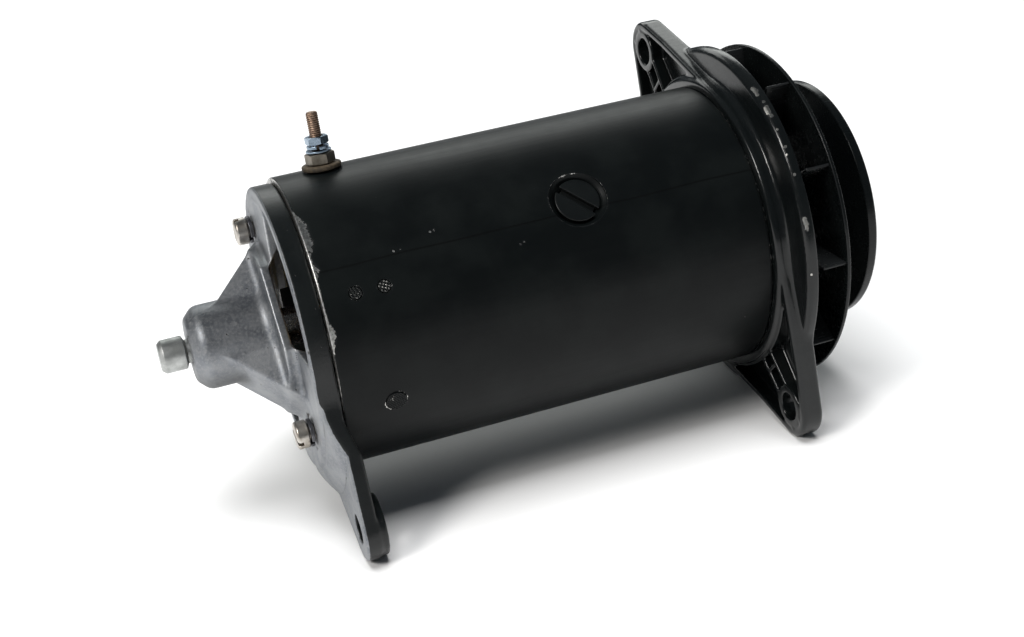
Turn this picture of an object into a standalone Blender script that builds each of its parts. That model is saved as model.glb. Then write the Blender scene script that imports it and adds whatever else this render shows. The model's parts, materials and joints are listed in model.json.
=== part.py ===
"""Direct-current dynamo with a cooling fan and a V-belt pulley.

The machine is drawn in its own frame and then laid down by one empty, "machine_frame":
+X runs along the shaft from the commutator end to the drive end, with x = 0 at the end of
the yoke, and +Z points to the upper mounting lug. Radial parts hang on "station" empties,
whose +Z points away from the shaft and whose origin lies on the shaft axis.
"""

from math import acos, asin, cos, hypot, pi, radians, sin, sqrt, tan

import bmesh
import bpy
from mathutils import Matrix, Vector

MM = 0.001
GAP = 0.3 * MM                      # clearance between neighbouring pieces
ROUND = 40                          # facets round a large turned piece
NO_TURN = Matrix.Identity(4)

# Yoke and magnets
YOKE_R = 57.15 * MM
YOKE_BORE_R = 50.5 * MM
YOKE_LENGTH = 172.6 * MM
POLE_X = 102.6 * MM                 # middle of the magnets and of the armature core
POLE_LENGTH = 95.0 * MM
POLE_CORE_HALF_WIDTH = 16.0 * MM
POLE_NECK_R = 41.0 * MM
POLE_FACE_R = 37.0 * MM
POLE_SHOE_ANGLE = radians(60)
POLE_SCREW_HEAD_R = 8.7 * MM
POLE_SCREW_SHANK_R = 5.5 * MM
POLE_SCREW_SEAT_R = 11.2 * MM
POLE_SCREW_SLOT_ANGLE = radians(-46)
POLE_SCREW_TOP_R = 56.0 * MM

# Mounting lugs, which share one bolt circle
LUG_REACH = 84.3 * MM               # shaft axis to lug bore
LUG_TIP_R = 12.5 * MM
LUG_BORE_R = 5.6 * MM

# Commutator-end bracket
RIM_X = -8.5 * MM                   # outer face of the bracket's rim
RIM_R = 55.2 * MM
RIM_PLATE_X = -4.35 * MM            # inner face of the rim's plate
SPIGOT_R = 50.2 * MM
SPIGOT_INNER_R = 47.2 * MM
SPIGOT_END_X = 3.5 * MM
HUB_R = 16.3 * MM
HUB_END_X = -44.6 * MM
HUB_NOSE = 4.3 * MM
ARM_HALF_WIDTH = 12.1 * MM          # at the arms' outer faces
ARM_DRAFT = 0.16                    # widening of the arms below their outer faces
ARM_TIP_Z = 34.8 * MM               # where the arms' outer faces, at 45 degrees, meet the rim
SPIDER_PLATE_X = -13.1 * MM         # front of the plate between the windows
PLATE_SHOULDER_Z = 17.0 * MM        # where the plate starts to narrow towards the arms
WINDOW_INNER_Y = 22.0 * MM
WINDOW_OUTER_R = 51.0 * MM
WINDOW_ANGLE = radians(40)
SPOT_FACE_X = RIM_X + 0.1 * MM      # seat of the through bolts' washers
CE_LUG_WAIST_R = 50.0 * MM
CE_LUG_FACE_X = -3.0 * MM
CE_LUG_BACK_X = 2.9 * MM
CE_LUG_BOSS_X = 5.8 * MM
CE_LUG_BOSS_R = 11.8 * MM

# Drive-end bracket
DE_FACE_X = 172.9 * MM
DE_LUG_FACE_X = 175.65 * MM
DE_BACK_X = 184.5 * MM
DE_RIM_R = 72.0 * MM
DE_COLLAR_R = 60.5 * MM
DE_WALL_X = 178.0 * MM
DE_RIM_X = 181.0 * MM               # front edge of the rear rim
LUG_WAIST_R = 60.2 * MM             # circle that the lug flanks are tangent to
LUG_WALL = 3.2 * MM
LUG_BOSS_R = 8.8 * MM
LUG_FLAT_Z = 75.5 * MM              # the lug's front is flat beyond this and slopes to the collar before it
LUG_SLOPE_Z = 25.0 * MM
LUG_RIB_Y = 4.2 * MM
LUG_RIB_WIDTH = 1.8 * MM
LUG_WEB_X = 181.0 * MM              # floor of the lug pockets
LUG_POCKETS_Z = ((62.4 * MM, 66.2 * MM), (68.0 * MM, 74.6 * MM))
VENT_COUNT = 6
VENT_INNER_R = 33.5 * MM
VENT_OUTER_R = 46.0 * MM

# Through bolts
BOLT_CIRCLE_R = 43.5 * MM
BOLT_SHANK_R = 3.0 * MM
BOLT_HEAD_R = 5.4 * MM
BOLT_HEAD_HEIGHT = 4.8 * MM
BOLT_END = -181.5 * MM              # distance of the bolts' far ends, measured towards -X

# Drive-end ball bearing
BEARING_X = 169.5 * MM
BEARING_WIDTH = 11.5 * MM
BEARING_OUTER_R = 20.0 * MM
BEARING_BORE_R = 8.8 * MM
BALL_CIRCLE_R = 14.45 * MM
BALL_R = 3.0 * MM
BALL_COUNT = 7
CAGE_INNER_R = 13.4 * MM
CAGE_OUTER_R = 15.5 * MM
RETAINING_SCREW_ANGLES = (radians(30), radians(150), radians(270))
RETAINING_SCREW_CIRCLE_R = 25.2 * MM
RETAINING_PLATE_INNER_R = 15.0 * MM
RETAINING_PLATE_R = 29.2 * MM

# Lubricator in the hub
CAP_END_X = -56.2 * MM
CAP_R = 6.5 * MM
FELT_R = 3.3 * MM

# Rotor
JOURNAL_R = 7.5 * MM
SHAFT_R = 9.0 * MM
SEAT_R = 8.5 * MM
NUT_THREAD_R = 7.7 * MM
SHAFT_END_X = 228.0 * MM
KEY_X = 209.3 * MM
CORE_R = 36.2 * MM
SLOT_COUNT = 18
SLOT_WIDTH = 4.6 * MM
SLOT_FLOOR_R = 22.0 * MM
COMMUTATOR_R = 20.0 * MM
COMMUTATOR_BARS = 18
FAN_R = 69.7 * MM
FAN_DISC_X = 198.1 * MM
FAN_BLADE_X = 188.3 * MM
FAN_BLADES = 11
FAN_BLADE_PHASE = radians(20.8)
PULLEY_R = 50.1 * MM
PULLEY_BACK_X = 200.0 * MM
PULLEY_FACE_X = 223.3 * MM
GROOVE_FLOOR_R = 36.5 * MM

# Brush gear and terminal
BRUSH_X = 18.0 * MM
BRUSH_ANGLE = radians(-15)
BRUSH_FOOT_R = 20.3 * MM
BRUSH_TOP_R = 35.3 * MM
BRUSH_HALF_X = 9.0 * MM
BRUSH_HALF_Y = 3.5 * MM
HOLDER_WALL = 1.2 * MM
ARM_PIVOT_OFFSET = 14.6 * MM
HOLDER_RIVET_X = (12.6 * MM, 23.3 * MM)
EARTH_RIVET_X = 19.8 * MM
EARTH_RIVET_ANGLE = radians(-59.2)
TERMINAL_X = 18.7 * MM
TERMINAL_ANGLE = radians(52.4)
TERMINAL_TIP_R = 79.4 * MM
STUD_R = 2.35 * MM

# The machine lies on its drive-end rim and its two lower lug tips.
LEAN = asin((DE_RIM_R - LUG_TIP_R) / LUG_REACH)

BLACK_PAINT = ("black_paint", (0.012, 0.013, 0.014), 0.38, 0.0)
ALUMINIUM = ("cast_aluminium", (0.46, 0.47, 0.48), 0.42, 1.0)
STEEL = ("bright_steel", (0.50, 0.49, 0.46), 0.35, 1.0)
ZINC = ("zinc_plate", (0.55, 0.62, 0.70), 0.30, 1.0)
COPPER = ("copper", (0.55, 0.28, 0.16), 0.35, 1.0)
STUD_METAL = ("terminal_brass", (0.42, 0.27, 0.18), 0.45, 1.0)
BRONZE = ("sintered_bronze", (0.50, 0.33, 0.15), 0.50, 1.0)
FIBRE = ("fibre_insulator", (0.20, 0.13, 0.07), 0.80, 0.0)
LAMINATED = ("laminated_steel", (0.22, 0.22, 0.23), 0.45, 1.0)
VARNISH = ("varnished_winding", (0.22, 0.07, 0.03), 0.40, 0.0)
TAPE = ("coil_tape", (0.30, 0.24, 0.15), 0.85, 0.0)
CARBON = ("carbon", (0.03, 0.03, 0.035), 0.55, 0.0)
FELT = ("oil_felt", (0.26, 0.22, 0.15), 0.95, 0.0)
BRASS = ("brass", (0.60, 0.45, 0.20), 0.35, 1.0)
SPRING = ("spring_steel", (0.30, 0.30, 0.32), 0.35, 1.0)


# ---------------------------------------------------------------- building blocks

def clear_scene():
    for obj in list(bpy.data.objects):
        bpy.data.objects.remove(obj, do_unlink=True)


def material(spec):
    name, colour, roughness, metallic = spec
    found = bpy.data.materials.get(name)
    if found:
        return found
    made = bpy.data.materials.new(name)
    made.use_nodes = True
    made.diffuse_color = (*colour, 1.0)
    shader = made.node_tree.nodes["Principled BSDF"]
    shader.inputs["Base Color"].default_value = (*colour, 1.0)
    shader.inputs["Roughness"].default_value = roughness
    shader.inputs["Metallic"].default_value = metallic
    return made


def empty(name, parent=None, location=(0, 0, 0), rotation=(0, 0, 0)):
    made = bpy.data.objects.new(name, None)
    made.empty_display_size = 0.01
    made.location = location
    made.rotation_euler = rotation
    made.parent = parent
    bpy.context.scene.collection.objects.link(made)
    return made


def station(name, x, angle):
    """An empty on the shaft axis whose +Z points outwards at the angle, from -Y towards +Z."""
    return empty(name, MACHINE, (x, 0, 0), (pi / 2 - angle, 0, 0))


def add_object(name, bm, spec, parent):
    bmesh.ops.remove_doubles(bm, verts=bm.verts, dist=1e-7)
    bmesh.ops.recalc_face_normals(bm, faces=bm.faces)
    mesh = bpy.data.meshes.new(name)
    bm.to_mesh(mesh)
    bm.free()
    mesh.shade_smooth()
    mesh.set_sharp_from_angle(angle=radians(32))
    made = bpy.data.objects.new(name, mesh)
    if spec:
        mesh.materials.append(material(spec))
    made.parent = parent
    bpy.context.scene.collection.objects.link(made)
    return made


def cutter(name, bm, parent):
    made = add_object(name, bm, None, parent)
    made.hide_render = True
    made.display_type = "WIRE"
    return made


def combine(target, tool, operation="DIFFERENCE"):
    step = target.modifiers.new(tool.name, "BOOLEAN")
    step.operation = operation
    step.object = tool
    step.solver = "EXACT"


def arc(centre, radius, start, end, steps):
    """Points of an arc as (a, b) pairs, both ends included."""
    turn = (end - start) / steps
    return [(centre[0] + radius * cos(start + turn * i), centre[1] + radius * sin(start + turn * i))
            for i in range(steps + 1)]


def lathe(profile, segments, axis="X"):
    """Turn a closed (along, radius) outline about the axis."""
    bm = bmesh.new()
    if axis == "X":
        verts = [bm.verts.new((a, 0, r)) for a, r in profile]
        direction = (1, 0, 0)
    else:
        verts = [bm.verts.new((r, 0, a)) for a, r in profile]
        direction = (0, 0, 1)

    def radius(vert):
        return hypot(vert.co.y, vert.co.z if axis == "X" else vert.co.x)

    edges = [bm.edges.new((verts[i - 1], verts[i])) for i in range(len(verts))]
    on_axis = [e for e in edges if all(radius(v) < 1e-9 for v in e.verts)]
    for edge in on_axis:
        bm.edges.remove(edge)
        edges.remove(edge)
    bmesh.ops.spin(bm, geom=verts + edges, cent=(0, 0, 0), axis=direction, angle=2 * pi,
                   steps=segments, use_merge=True)
    bmesh.ops.remove_doubles(bm, verts=bm.verts, dist=1e-7)
    centres = [v for v in bm.verts if radius(v) < 1e-7]
    bmesh.ops.dissolve_verts(bm, verts=centres)
    return bm


def ring(x0, x1, inner, outer, segments, axis="X", chamfer=0.0):
    """A plain ring or, with inner 0, a disc, with chamfered outer corners."""
    profile = [(x0, inner), (x0, outer - chamfer)]
    if chamfer:
        profile.append((x0 + chamfer, outer))
        profile.append((x1 - chamfer, outer))
    else:
        profile.append((x0, outer))
    profile.append((x1, outer - chamfer))
    profile.append((x1, inner))
    return lathe(profile, segments, axis)


def prism(outline, x0, x1):
    """Extrude a closed (y, z) outline along X."""
    bm = bmesh.new()
    face = bm.faces.new([bm.verts.new((x0, y, z)) for y, z in outline])
    moved = bmesh.ops.extrude_face_region(bm, geom=[face])["geom"]
    bmesh.ops.translate(bm, verts=[v for v in moved if isinstance(v, bmesh.types.BMVert)],
                        vec=(x1 - x0, 0, 0))
    return bm


def side_prism(outline, y0, y1):
    """Extrude a closed (x, z) outline along Y."""
    bm = prism(outline, y0, y1)
    for vert in bm.verts:
        vert.co = Vector((vert.co.y, vert.co.x, vert.co.z))
    return bm


def boxes(specs):
    """Separate boxes in one mesh, each given as (centre, size, turn matrix)."""
    bm = bmesh.new()
    for centre, size, turn in specs:
        place = turn @ Matrix.Translation(centre) @ Matrix.Diagonal((*size, 1))
        bmesh.ops.create_cube(bm, size=1, matrix=place)
    return bm


def around_x(angle):
    """Turn whose +Z points outwards at the angle, from -Y towards +Z."""
    return Matrix.Rotation(pi / 2 - angle, 4, "X")


def loft(loops, closed=False):
    """Join equal vertex loops, one after the other; open lofts are capped."""
    bm = bmesh.new()
    rows = [[bm.verts.new(point) for point in loop] for loop in loops]
    count = len(rows[0])
    pairs = list(zip(rows, rows[1:]))
    if closed:
        pairs.append((rows[-1], rows[0]))
    for first, second in pairs:
        for i in range(count):
            j = (i + 1) % count
            bm.faces.new((first[i], first[j], second[j], second[i]))
    if not closed:
        bm.faces.new(rows[0])
        bm.faces.new(rows[-1])
    return bm


def hull(points):
    bm = bmesh.new()
    for point in points:
        bm.verts.new(point)
    made = bmesh.ops.convex_hull(bm, input=bm.verts)
    loose = [g for g in made["geom_interior"] if isinstance(g, bmesh.types.BMVert)]
    bmesh.ops.delete(bm, geom=loose, context="VERTS")
    bmesh.ops.dissolve_limit(bm, angle_limit=radians(0.5), verts=bm.verts, edges=bm.edges)
    return bm


def lug_outline(side, waist_r, steps):
    """A lug's rounded tip and its two flanks, tangent to a circle round the shaft."""
    tangent = asin((waist_r - LUG_TIP_R) / LUG_REACH)
    points = arc((0, LUG_REACH), LUG_TIP_R, tangent, pi - tangent, steps)
    points.append((-waist_r * cos(tangent), waist_r * sin(tangent)))
    points.append((waist_r * cos(tangent), waist_r * sin(tangent)))
    return [(side * y, side * z) for y, z in points]


def pocket_outline(side, mirror):
    """The hollow beside a lug's boss: round the collar, up the flank wall and back along the boss."""
    flank = asin((LUG_WAIST_R - LUG_TIP_R) / LUG_REACH)
    wall_r = LUG_WAIST_R - LUG_WALL
    collar_r = DE_COLLAR_R + 1.4 * MM
    rib_y = LUG_RIB_Y + LUG_RIB_WIDTH / 2
    points = arc((0, 0), collar_r, pi / 2 - asin(rib_y / collar_r), flank + acos(wall_r / collar_r), 6)
    points.append(((wall_r - LUG_REACH * sin(flank)) / cos(flank), LUG_REACH))
    points += arc((0, LUG_REACH), LUG_BOSS_R, 0, -acos(rib_y / LUG_BOSS_R), 5)
    return [(side * mirror * y, side * z) for y, z in points]


def hexagon(across_flats, bore, low, high):
    """A nut on the Z axis, with its bore and its corners chamfered on both faces."""
    corner = across_flats / sqrt(3)
    chamfer = 0.09 * across_flats
    bm = bmesh.new()
    bmesh.ops.create_cone(bm, cap_ends=True, segments=6, radius1=corner, radius2=corner,
                          depth=high - low, matrix=Matrix.Translation((0, 0, (low + high) / 2)))
    rounded = lathe([(low, 0), (low, corner - chamfer), (low + chamfer / 2, corner + GAP),
                     (high - chamfer / 2, corner + GAP), (high, corner - chamfer), (high, 0)], 18, "Z")
    hole = ring(low - MM, high + MM, 0, bore, 16, "Z")
    return bm, rounded, hole


def nut(name, across_flats, bore, low, high, spec, parent):
    blank, rounded, hole = hexagon(across_flats, bore, low, high)
    made = add_object(name, blank, spec, parent)
    combine(made, cutter(name + "_chamfer_tool", rounded, parent), "INTERSECT")
    combine(made, cutter(name + "_bore_tool", hole, parent))


def split_washer(name, low, high, inner, outer, spec, parent, axis="Z", opening=radians(14), steps=20):
    """A spring washer: a ring with a gap, whose ends are offset along the axis."""
    thick = (high - low) * 0.72
    rise = (high - low) - thick
    loops = []
    for i in range(steps + 1):
        share = i / steps
        turn = opening / 2 + (2 * pi - opening) * share
        base = low + rise * share
        section = [(inner, base), (outer, base), (outer, base + thick), (inner, base + thick)]
        if axis == "Z":
            loops.append([(r * cos(turn), r * sin(turn), h) for r, h in section])
        else:
            loops.append([(h, r * cos(turn), r * sin(turn)) for r, h in section])
    add_object(name, loft(loops), spec, parent)


def slotted_head(made, name, width, depth, top, length, angle, parent):
    """Cut a screwdriver slot across a head that faces +Z."""
    turn = Matrix.Rotation(angle, 4, "Z")
    tool = boxes([((0, 0, top), (length, width, 2 * depth), turn)])
    combine(made, cutter(name + "_slot_tool", tool, parent))


# ---------------------------------------------------------------- stator: yoke and magnets

def build_yoke():
    edge = 0.5 * MM
    profile = [(0, YOKE_BORE_R), (0, YOKE_R - edge), (edge, YOKE_R),
               (YOKE_LENGTH - edge, YOKE_R), (YOKE_LENGTH, YOKE_R - edge), (YOKE_LENGTH, YOKE_BORE_R)]
    yoke = add_object("yoke", lathe(profile, ROUND), BLACK_PAINT, MACHINE)
    for label, angle in (("front", 0), ("rear", pi)):
        seat = [(YOKE_BORE_R - 2 * MM, 0), (YOKE_BORE_R - 2 * MM, 6.2 * MM), (51.6 * MM, 6.2 * MM),
                (56.6 * MM, POLE_SCREW_SEAT_R), (60 * MM, POLE_SCREW_SEAT_R), (60 * MM, 0)]
        place = station("pole_seat_" + label, POLE_X, angle)
        combine(yoke, cutter("pole_seat_tool_" + label, lathe(seat, 24, "Z"), place))
        for index, x in enumerate(HOLDER_RIVET_X):
            spot = station("holder_rivet_hole_%s_%d" % (label, index), x, BRUSH_ANGLE + angle)
            hole = ring(48 * MM, 60 * MM, 0, 2.7 * MM, 12, "Z")
            combine(yoke, cutter("rivet_hole_tool_%s_%d" % (label, index), hole, spot))
    spot = station("terminal_hole", TERMINAL_X, TERMINAL_ANGLE)
    terminal = ring(48 * MM, 60 * MM, 0, 5.0 * MM, 16, "Z")
    combine(yoke, cutter("terminal_hole_tool", terminal, spot))
    spot = station("earth_rivet_hole", EARTH_RIVET_X, EARTH_RIVET_ANGLE)
    earth = ring(48 * MM, 60 * MM, 0, 4.2 * MM, 16, "Z")
    combine(yoke, cutter("earth_hole_tool", earth, spot))


def build_pole(label, angle):
    place = station("pole_" + label, POLE_X, angle)
    back = asin(POLE_CORE_HALF_WIDTH / (YOKE_BORE_R - GAP))
    neck = asin(POLE_CORE_HALF_WIDTH / POLE_NECK_R)
    up = pi / 2
    outline = arc((0, 0), YOKE_BORE_R - GAP, up - back, up + back, 4)
    outline += arc((0, 0), POLE_NECK_R, up + neck, up + POLE_SHOE_ANGLE, 4)
    outline += arc((0, 0), POLE_FACE_R, up + POLE_SHOE_ANGLE, up - POLE_SHOE_ANGLE, 14)
    outline += arc((0, 0), POLE_NECK_R, up - POLE_SHOE_ANGLE, up - neck, 4)
    block = prism(outline, -POLE_LENGTH / 2, POLE_LENGTH / 2)
    shoe = add_object("pole_shoe_" + label, block, LAMINATED, place)
    tapped = ring(42.4 * MM, 52 * MM, 0, POLE_SCREW_SHANK_R + GAP, 24, "Z")
    combine(shoe, cutter("pole_tap_tool_" + label, tapped, place))

    name = "pole_screw_" + label
    top = POLE_SCREW_TOP_R
    screw = lathe([(43 * MM, 0), (43 * MM, 5 * MM), (43.6 * MM, POLE_SCREW_SHANK_R),
                   (top - 4 * MM, POLE_SCREW_SHANK_R), (top - 0.8 * MM, POLE_SCREW_HEAD_R),
                   (top, POLE_SCREW_HEAD_R - 0.4 * MM), (top, 0)], 24, "Z")
    made = add_object(name, screw, BLACK_PAINT, place)
    slotted_head(made, name, 2.6 * MM, 2.2 * MM, top, 20 * MM, POLE_SCREW_SLOT_ANGLE, place)
    add_object("field_coil_" + label, bent_coil(), TAPE, place)


def bent_coil():
    """A flat racetrack coil wrapped round the pole core and bent to the yoke's curve."""
    inner_turn, outer_turn = radians(24), radians(58)
    inner_x, outer_x = POLE_LENGTH / 2 + 0.5 * MM, POLE_LENGTH / 2 + 12 * MM
    corner_x, corner_turn = 9 * MM, radians(11)
    steps = 3
    pairs = []
    for corner in range(4):
        side_x = 1 if corner in (0, 3) else -1
        side_turn = 1 if corner in (0, 1) else -1
        for i in range(steps + 1):
            swing = (corner + i / steps) * pi / 2
            outer = Vector((side_x * (outer_x - corner_x) + corner_x * cos(swing),
                            side_turn * (outer_turn - corner_turn) + corner_turn * sin(swing)))
            pairs.append((Vector((side_x * inner_x, side_turn * inner_turn)), outer))
    loops = []
    for (inner, outer), (next_inner, next_outer) in zip(pairs, pairs[1:] + pairs[:1]):
        parts = 6 if abs(outer.y - next_outer.y) > radians(25) else 1
        for k in range(parts):
            loops.append(coil_section(inner.lerp(next_inner, k / parts), outer.lerp(next_outer, k / parts)))
    return loft(loops, closed=True)


def coil_section(inner, outer):
    """One cut through the coil, between two (x, turn) points and between its two radii."""
    low_r, high_r = POLE_NECK_R + 0.4 * MM, YOKE_BORE_R - 0.4 * MM
    across = [inner.lerp(outer, share / 3) for share in range(4)]
    low = [Vector((x, low_r * sin(turn), low_r * cos(turn))) for x, turn in across]
    high = [Vector((x, high_r * sin(turn), high_r * cos(turn))) for x, turn in across]
    return low + high[::-1]


# ---------------------------------------------------------------- stator: end brackets

def build_commutator_end_bracket():
    edge = 0.8 * MM
    profile = [(RIM_X, 12 * MM), (RIM_X, RIM_R - edge), (RIM_X + edge, RIM_R), (-GAP, RIM_R),
               (-GAP, SPIGOT_R), (SPIGOT_END_X, SPIGOT_R), (SPIGOT_END_X, SPIGOT_INNER_R),
               (RIM_PLATE_X, SPIGOT_INNER_R), (RIM_PLATE_X, 12 * MM)]
    bracket = add_object("commutator_end_bracket", lathe(profile, ROUND), ALUMINIUM, MACHINE)
    combine(bracket, cutter("spider_body", hull(arm_corners()), MACHINE), "UNION")
    combine(bracket, cutter("spider_plate", hull(plate_corners()), MACHINE), "UNION")
    hub = lathe([(HUB_END_X, 0), (HUB_END_X, HUB_R - HUB_NOSE), (HUB_END_X + HUB_NOSE, HUB_R),
                 (-15 * MM, HUB_R), (SPIDER_PLATE_X + MM, HUB_R + 3 * MM), (-10 * MM, HUB_R + 3 * MM),
                 (-10 * MM, 0)], 32)
    combine(bracket, cutter("hub_body", hub, MACHINE), "UNION")
    combine(bracket, build_commutator_end_lug(), "UNION")

    for side in (-1, 1):
        middle = 0 if side == 1 else pi
        inner_z = WINDOW_INNER_Y * tan(WINDOW_ANGLE)
        window = [(side * WINDOW_INNER_Y, -inner_z), (side * WINDOW_INNER_Y, inner_z)]
        window += arc((0, 0), WINDOW_OUTER_R, middle + side * WINDOW_ANGLE, middle - side * WINDOW_ANGLE, 8)
        combine(bracket, cutter("window_tool_%d" % side, prism(window, -20 * MM, 6 * MM), MACHINE))
        flat = ring(-20 * MM, SPOT_FACE_X, 0, BOLT_HEAD_R + 1.6 * MM, 22)
        bmesh.ops.translate(flat, verts=flat.verts, vec=(0, 0, side * BOLT_CIRCLE_R))
        combine(bracket, cutter("spot_face_tool_%d" % side, flat, MACHINE))
        bolt_hole = ring(-14 * MM, 6 * MM, 0, BOLT_SHANK_R + 0.4 * MM, 16)
        bmesh.ops.translate(bolt_hole, verts=bolt_hole.verts, vec=(0, 0, side * BOLT_CIRCLE_R))
        combine(bracket, cutter("bolt_hole_tool_%d" % side, bolt_hole, MACHINE))
    inner = lathe([(-50 * MM, 0), (-50 * MM, 4.9 * MM), (-38.5 * MM, 4.9 * MM), (-38.5 * MM, 12.3 * MM),
                   (-14 * MM, 12.3 * MM), (-9.6 * MM, 22 * MM), (-9.6 * MM, 27 * MM), (-5 * MM, 33 * MM),
                   (10 * MM, 33 * MM), (10 * MM, 0)], 28)
    combine(bracket, cutter("hub_bore_tool", inner, MACHINE))
    bore = ring(-20 * MM, 20 * MM, 0, LUG_BORE_R, 24)
    bmesh.ops.translate(bore, verts=bore.verts, vec=(0, 0, -LUG_REACH))
    combine(bracket, cutter("ce_lug_bore_tool", bore, MACHINE))


def arm_corners():
    """Corners of the two arms: flat outer faces at 45 degrees, and sides that widen towards the shaft."""
    corners = []
    for x in (-33 * MM, RIM_X):
        z = ARM_TIP_Z + x - RIM_X
        middle_y = ARM_HALF_WIDTH + ARM_DRAFT * z * sqrt(0.5)
        for side in (-1, 1):
            corners.append((x, side * middle_y, 0))
            corners.append((x + 0.4 * MM, side * ARM_HALF_WIDTH, z))
            corners.append((x + 0.4 * MM, side * ARM_HALF_WIDTH, -z))
    return corners


def plate_corners():
    """Corners of the plate between the windows, which narrows to the arms' width at its ends."""
    side = WINDOW_INNER_Y + MM
    corners = []
    for x in (SPIDER_PLATE_X, RIM_X + MM):
        z = ARM_TIP_Z - MM + x - RIM_X
        for sign_y in (-1, 1):
            for sign_z in (-1, 1):
                corners.append((x, sign_y * side, sign_z * PLATE_SHOULDER_Z))
                corners.append((x, sign_y * ARM_HALF_WIDTH, sign_z * z))
    return corners


def build_commutator_end_lug():
    """The lug: it slopes back from the rim, and it steps out behind the yoke's edge and round its bore."""
    start = 58 * MM
    blank = prism(lug_outline(-1, CE_LUG_WAIST_R, 12), RIM_X + MM, CE_LUG_BACK_X)
    lug = cutter("lug_body", blank, MACHINE)
    front = lathe([(-15 * MM, start), (RIM_X, start), (CE_LUG_FACE_X, start + 9.5 * MM),
                   (CE_LUG_FACE_X, 110 * MM), (-15 * MM, 110 * MM)], 2 * ROUND)
    combine(lug, cutter("lug_front_tool", front, MACHINE))
    back = lathe([(-GAP - 0.1 * MM, 0), (-GAP - 0.1 * MM, start + 2 * MM), (CE_LUG_BACK_X, start + 10 * MM),
                  (CE_LUG_BACK_X + MM, start + 10 * MM), (CE_LUG_BACK_X + MM, 0)], 2 * ROUND)
    combine(lug, cutter("lug_back_tool", back, MACHINE))
    inside = ring(-20 * MM, 10 * MM, 0, SPIGOT_INNER_R + 4 * MM, ROUND)
    combine(lug, cutter("lug_inside_tool", inside, MACHINE))
    boss = ring(CE_LUG_FACE_X + MM, CE_LUG_BOSS_X, 0, CE_LUG_BOSS_R, 28)
    bmesh.ops.translate(boss, verts=boss.verts, vec=(0, 0, -LUG_REACH))
    combine(lug, cutter("lug_boss", boss, MACHINE), "UNION")
    return lug


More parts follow.
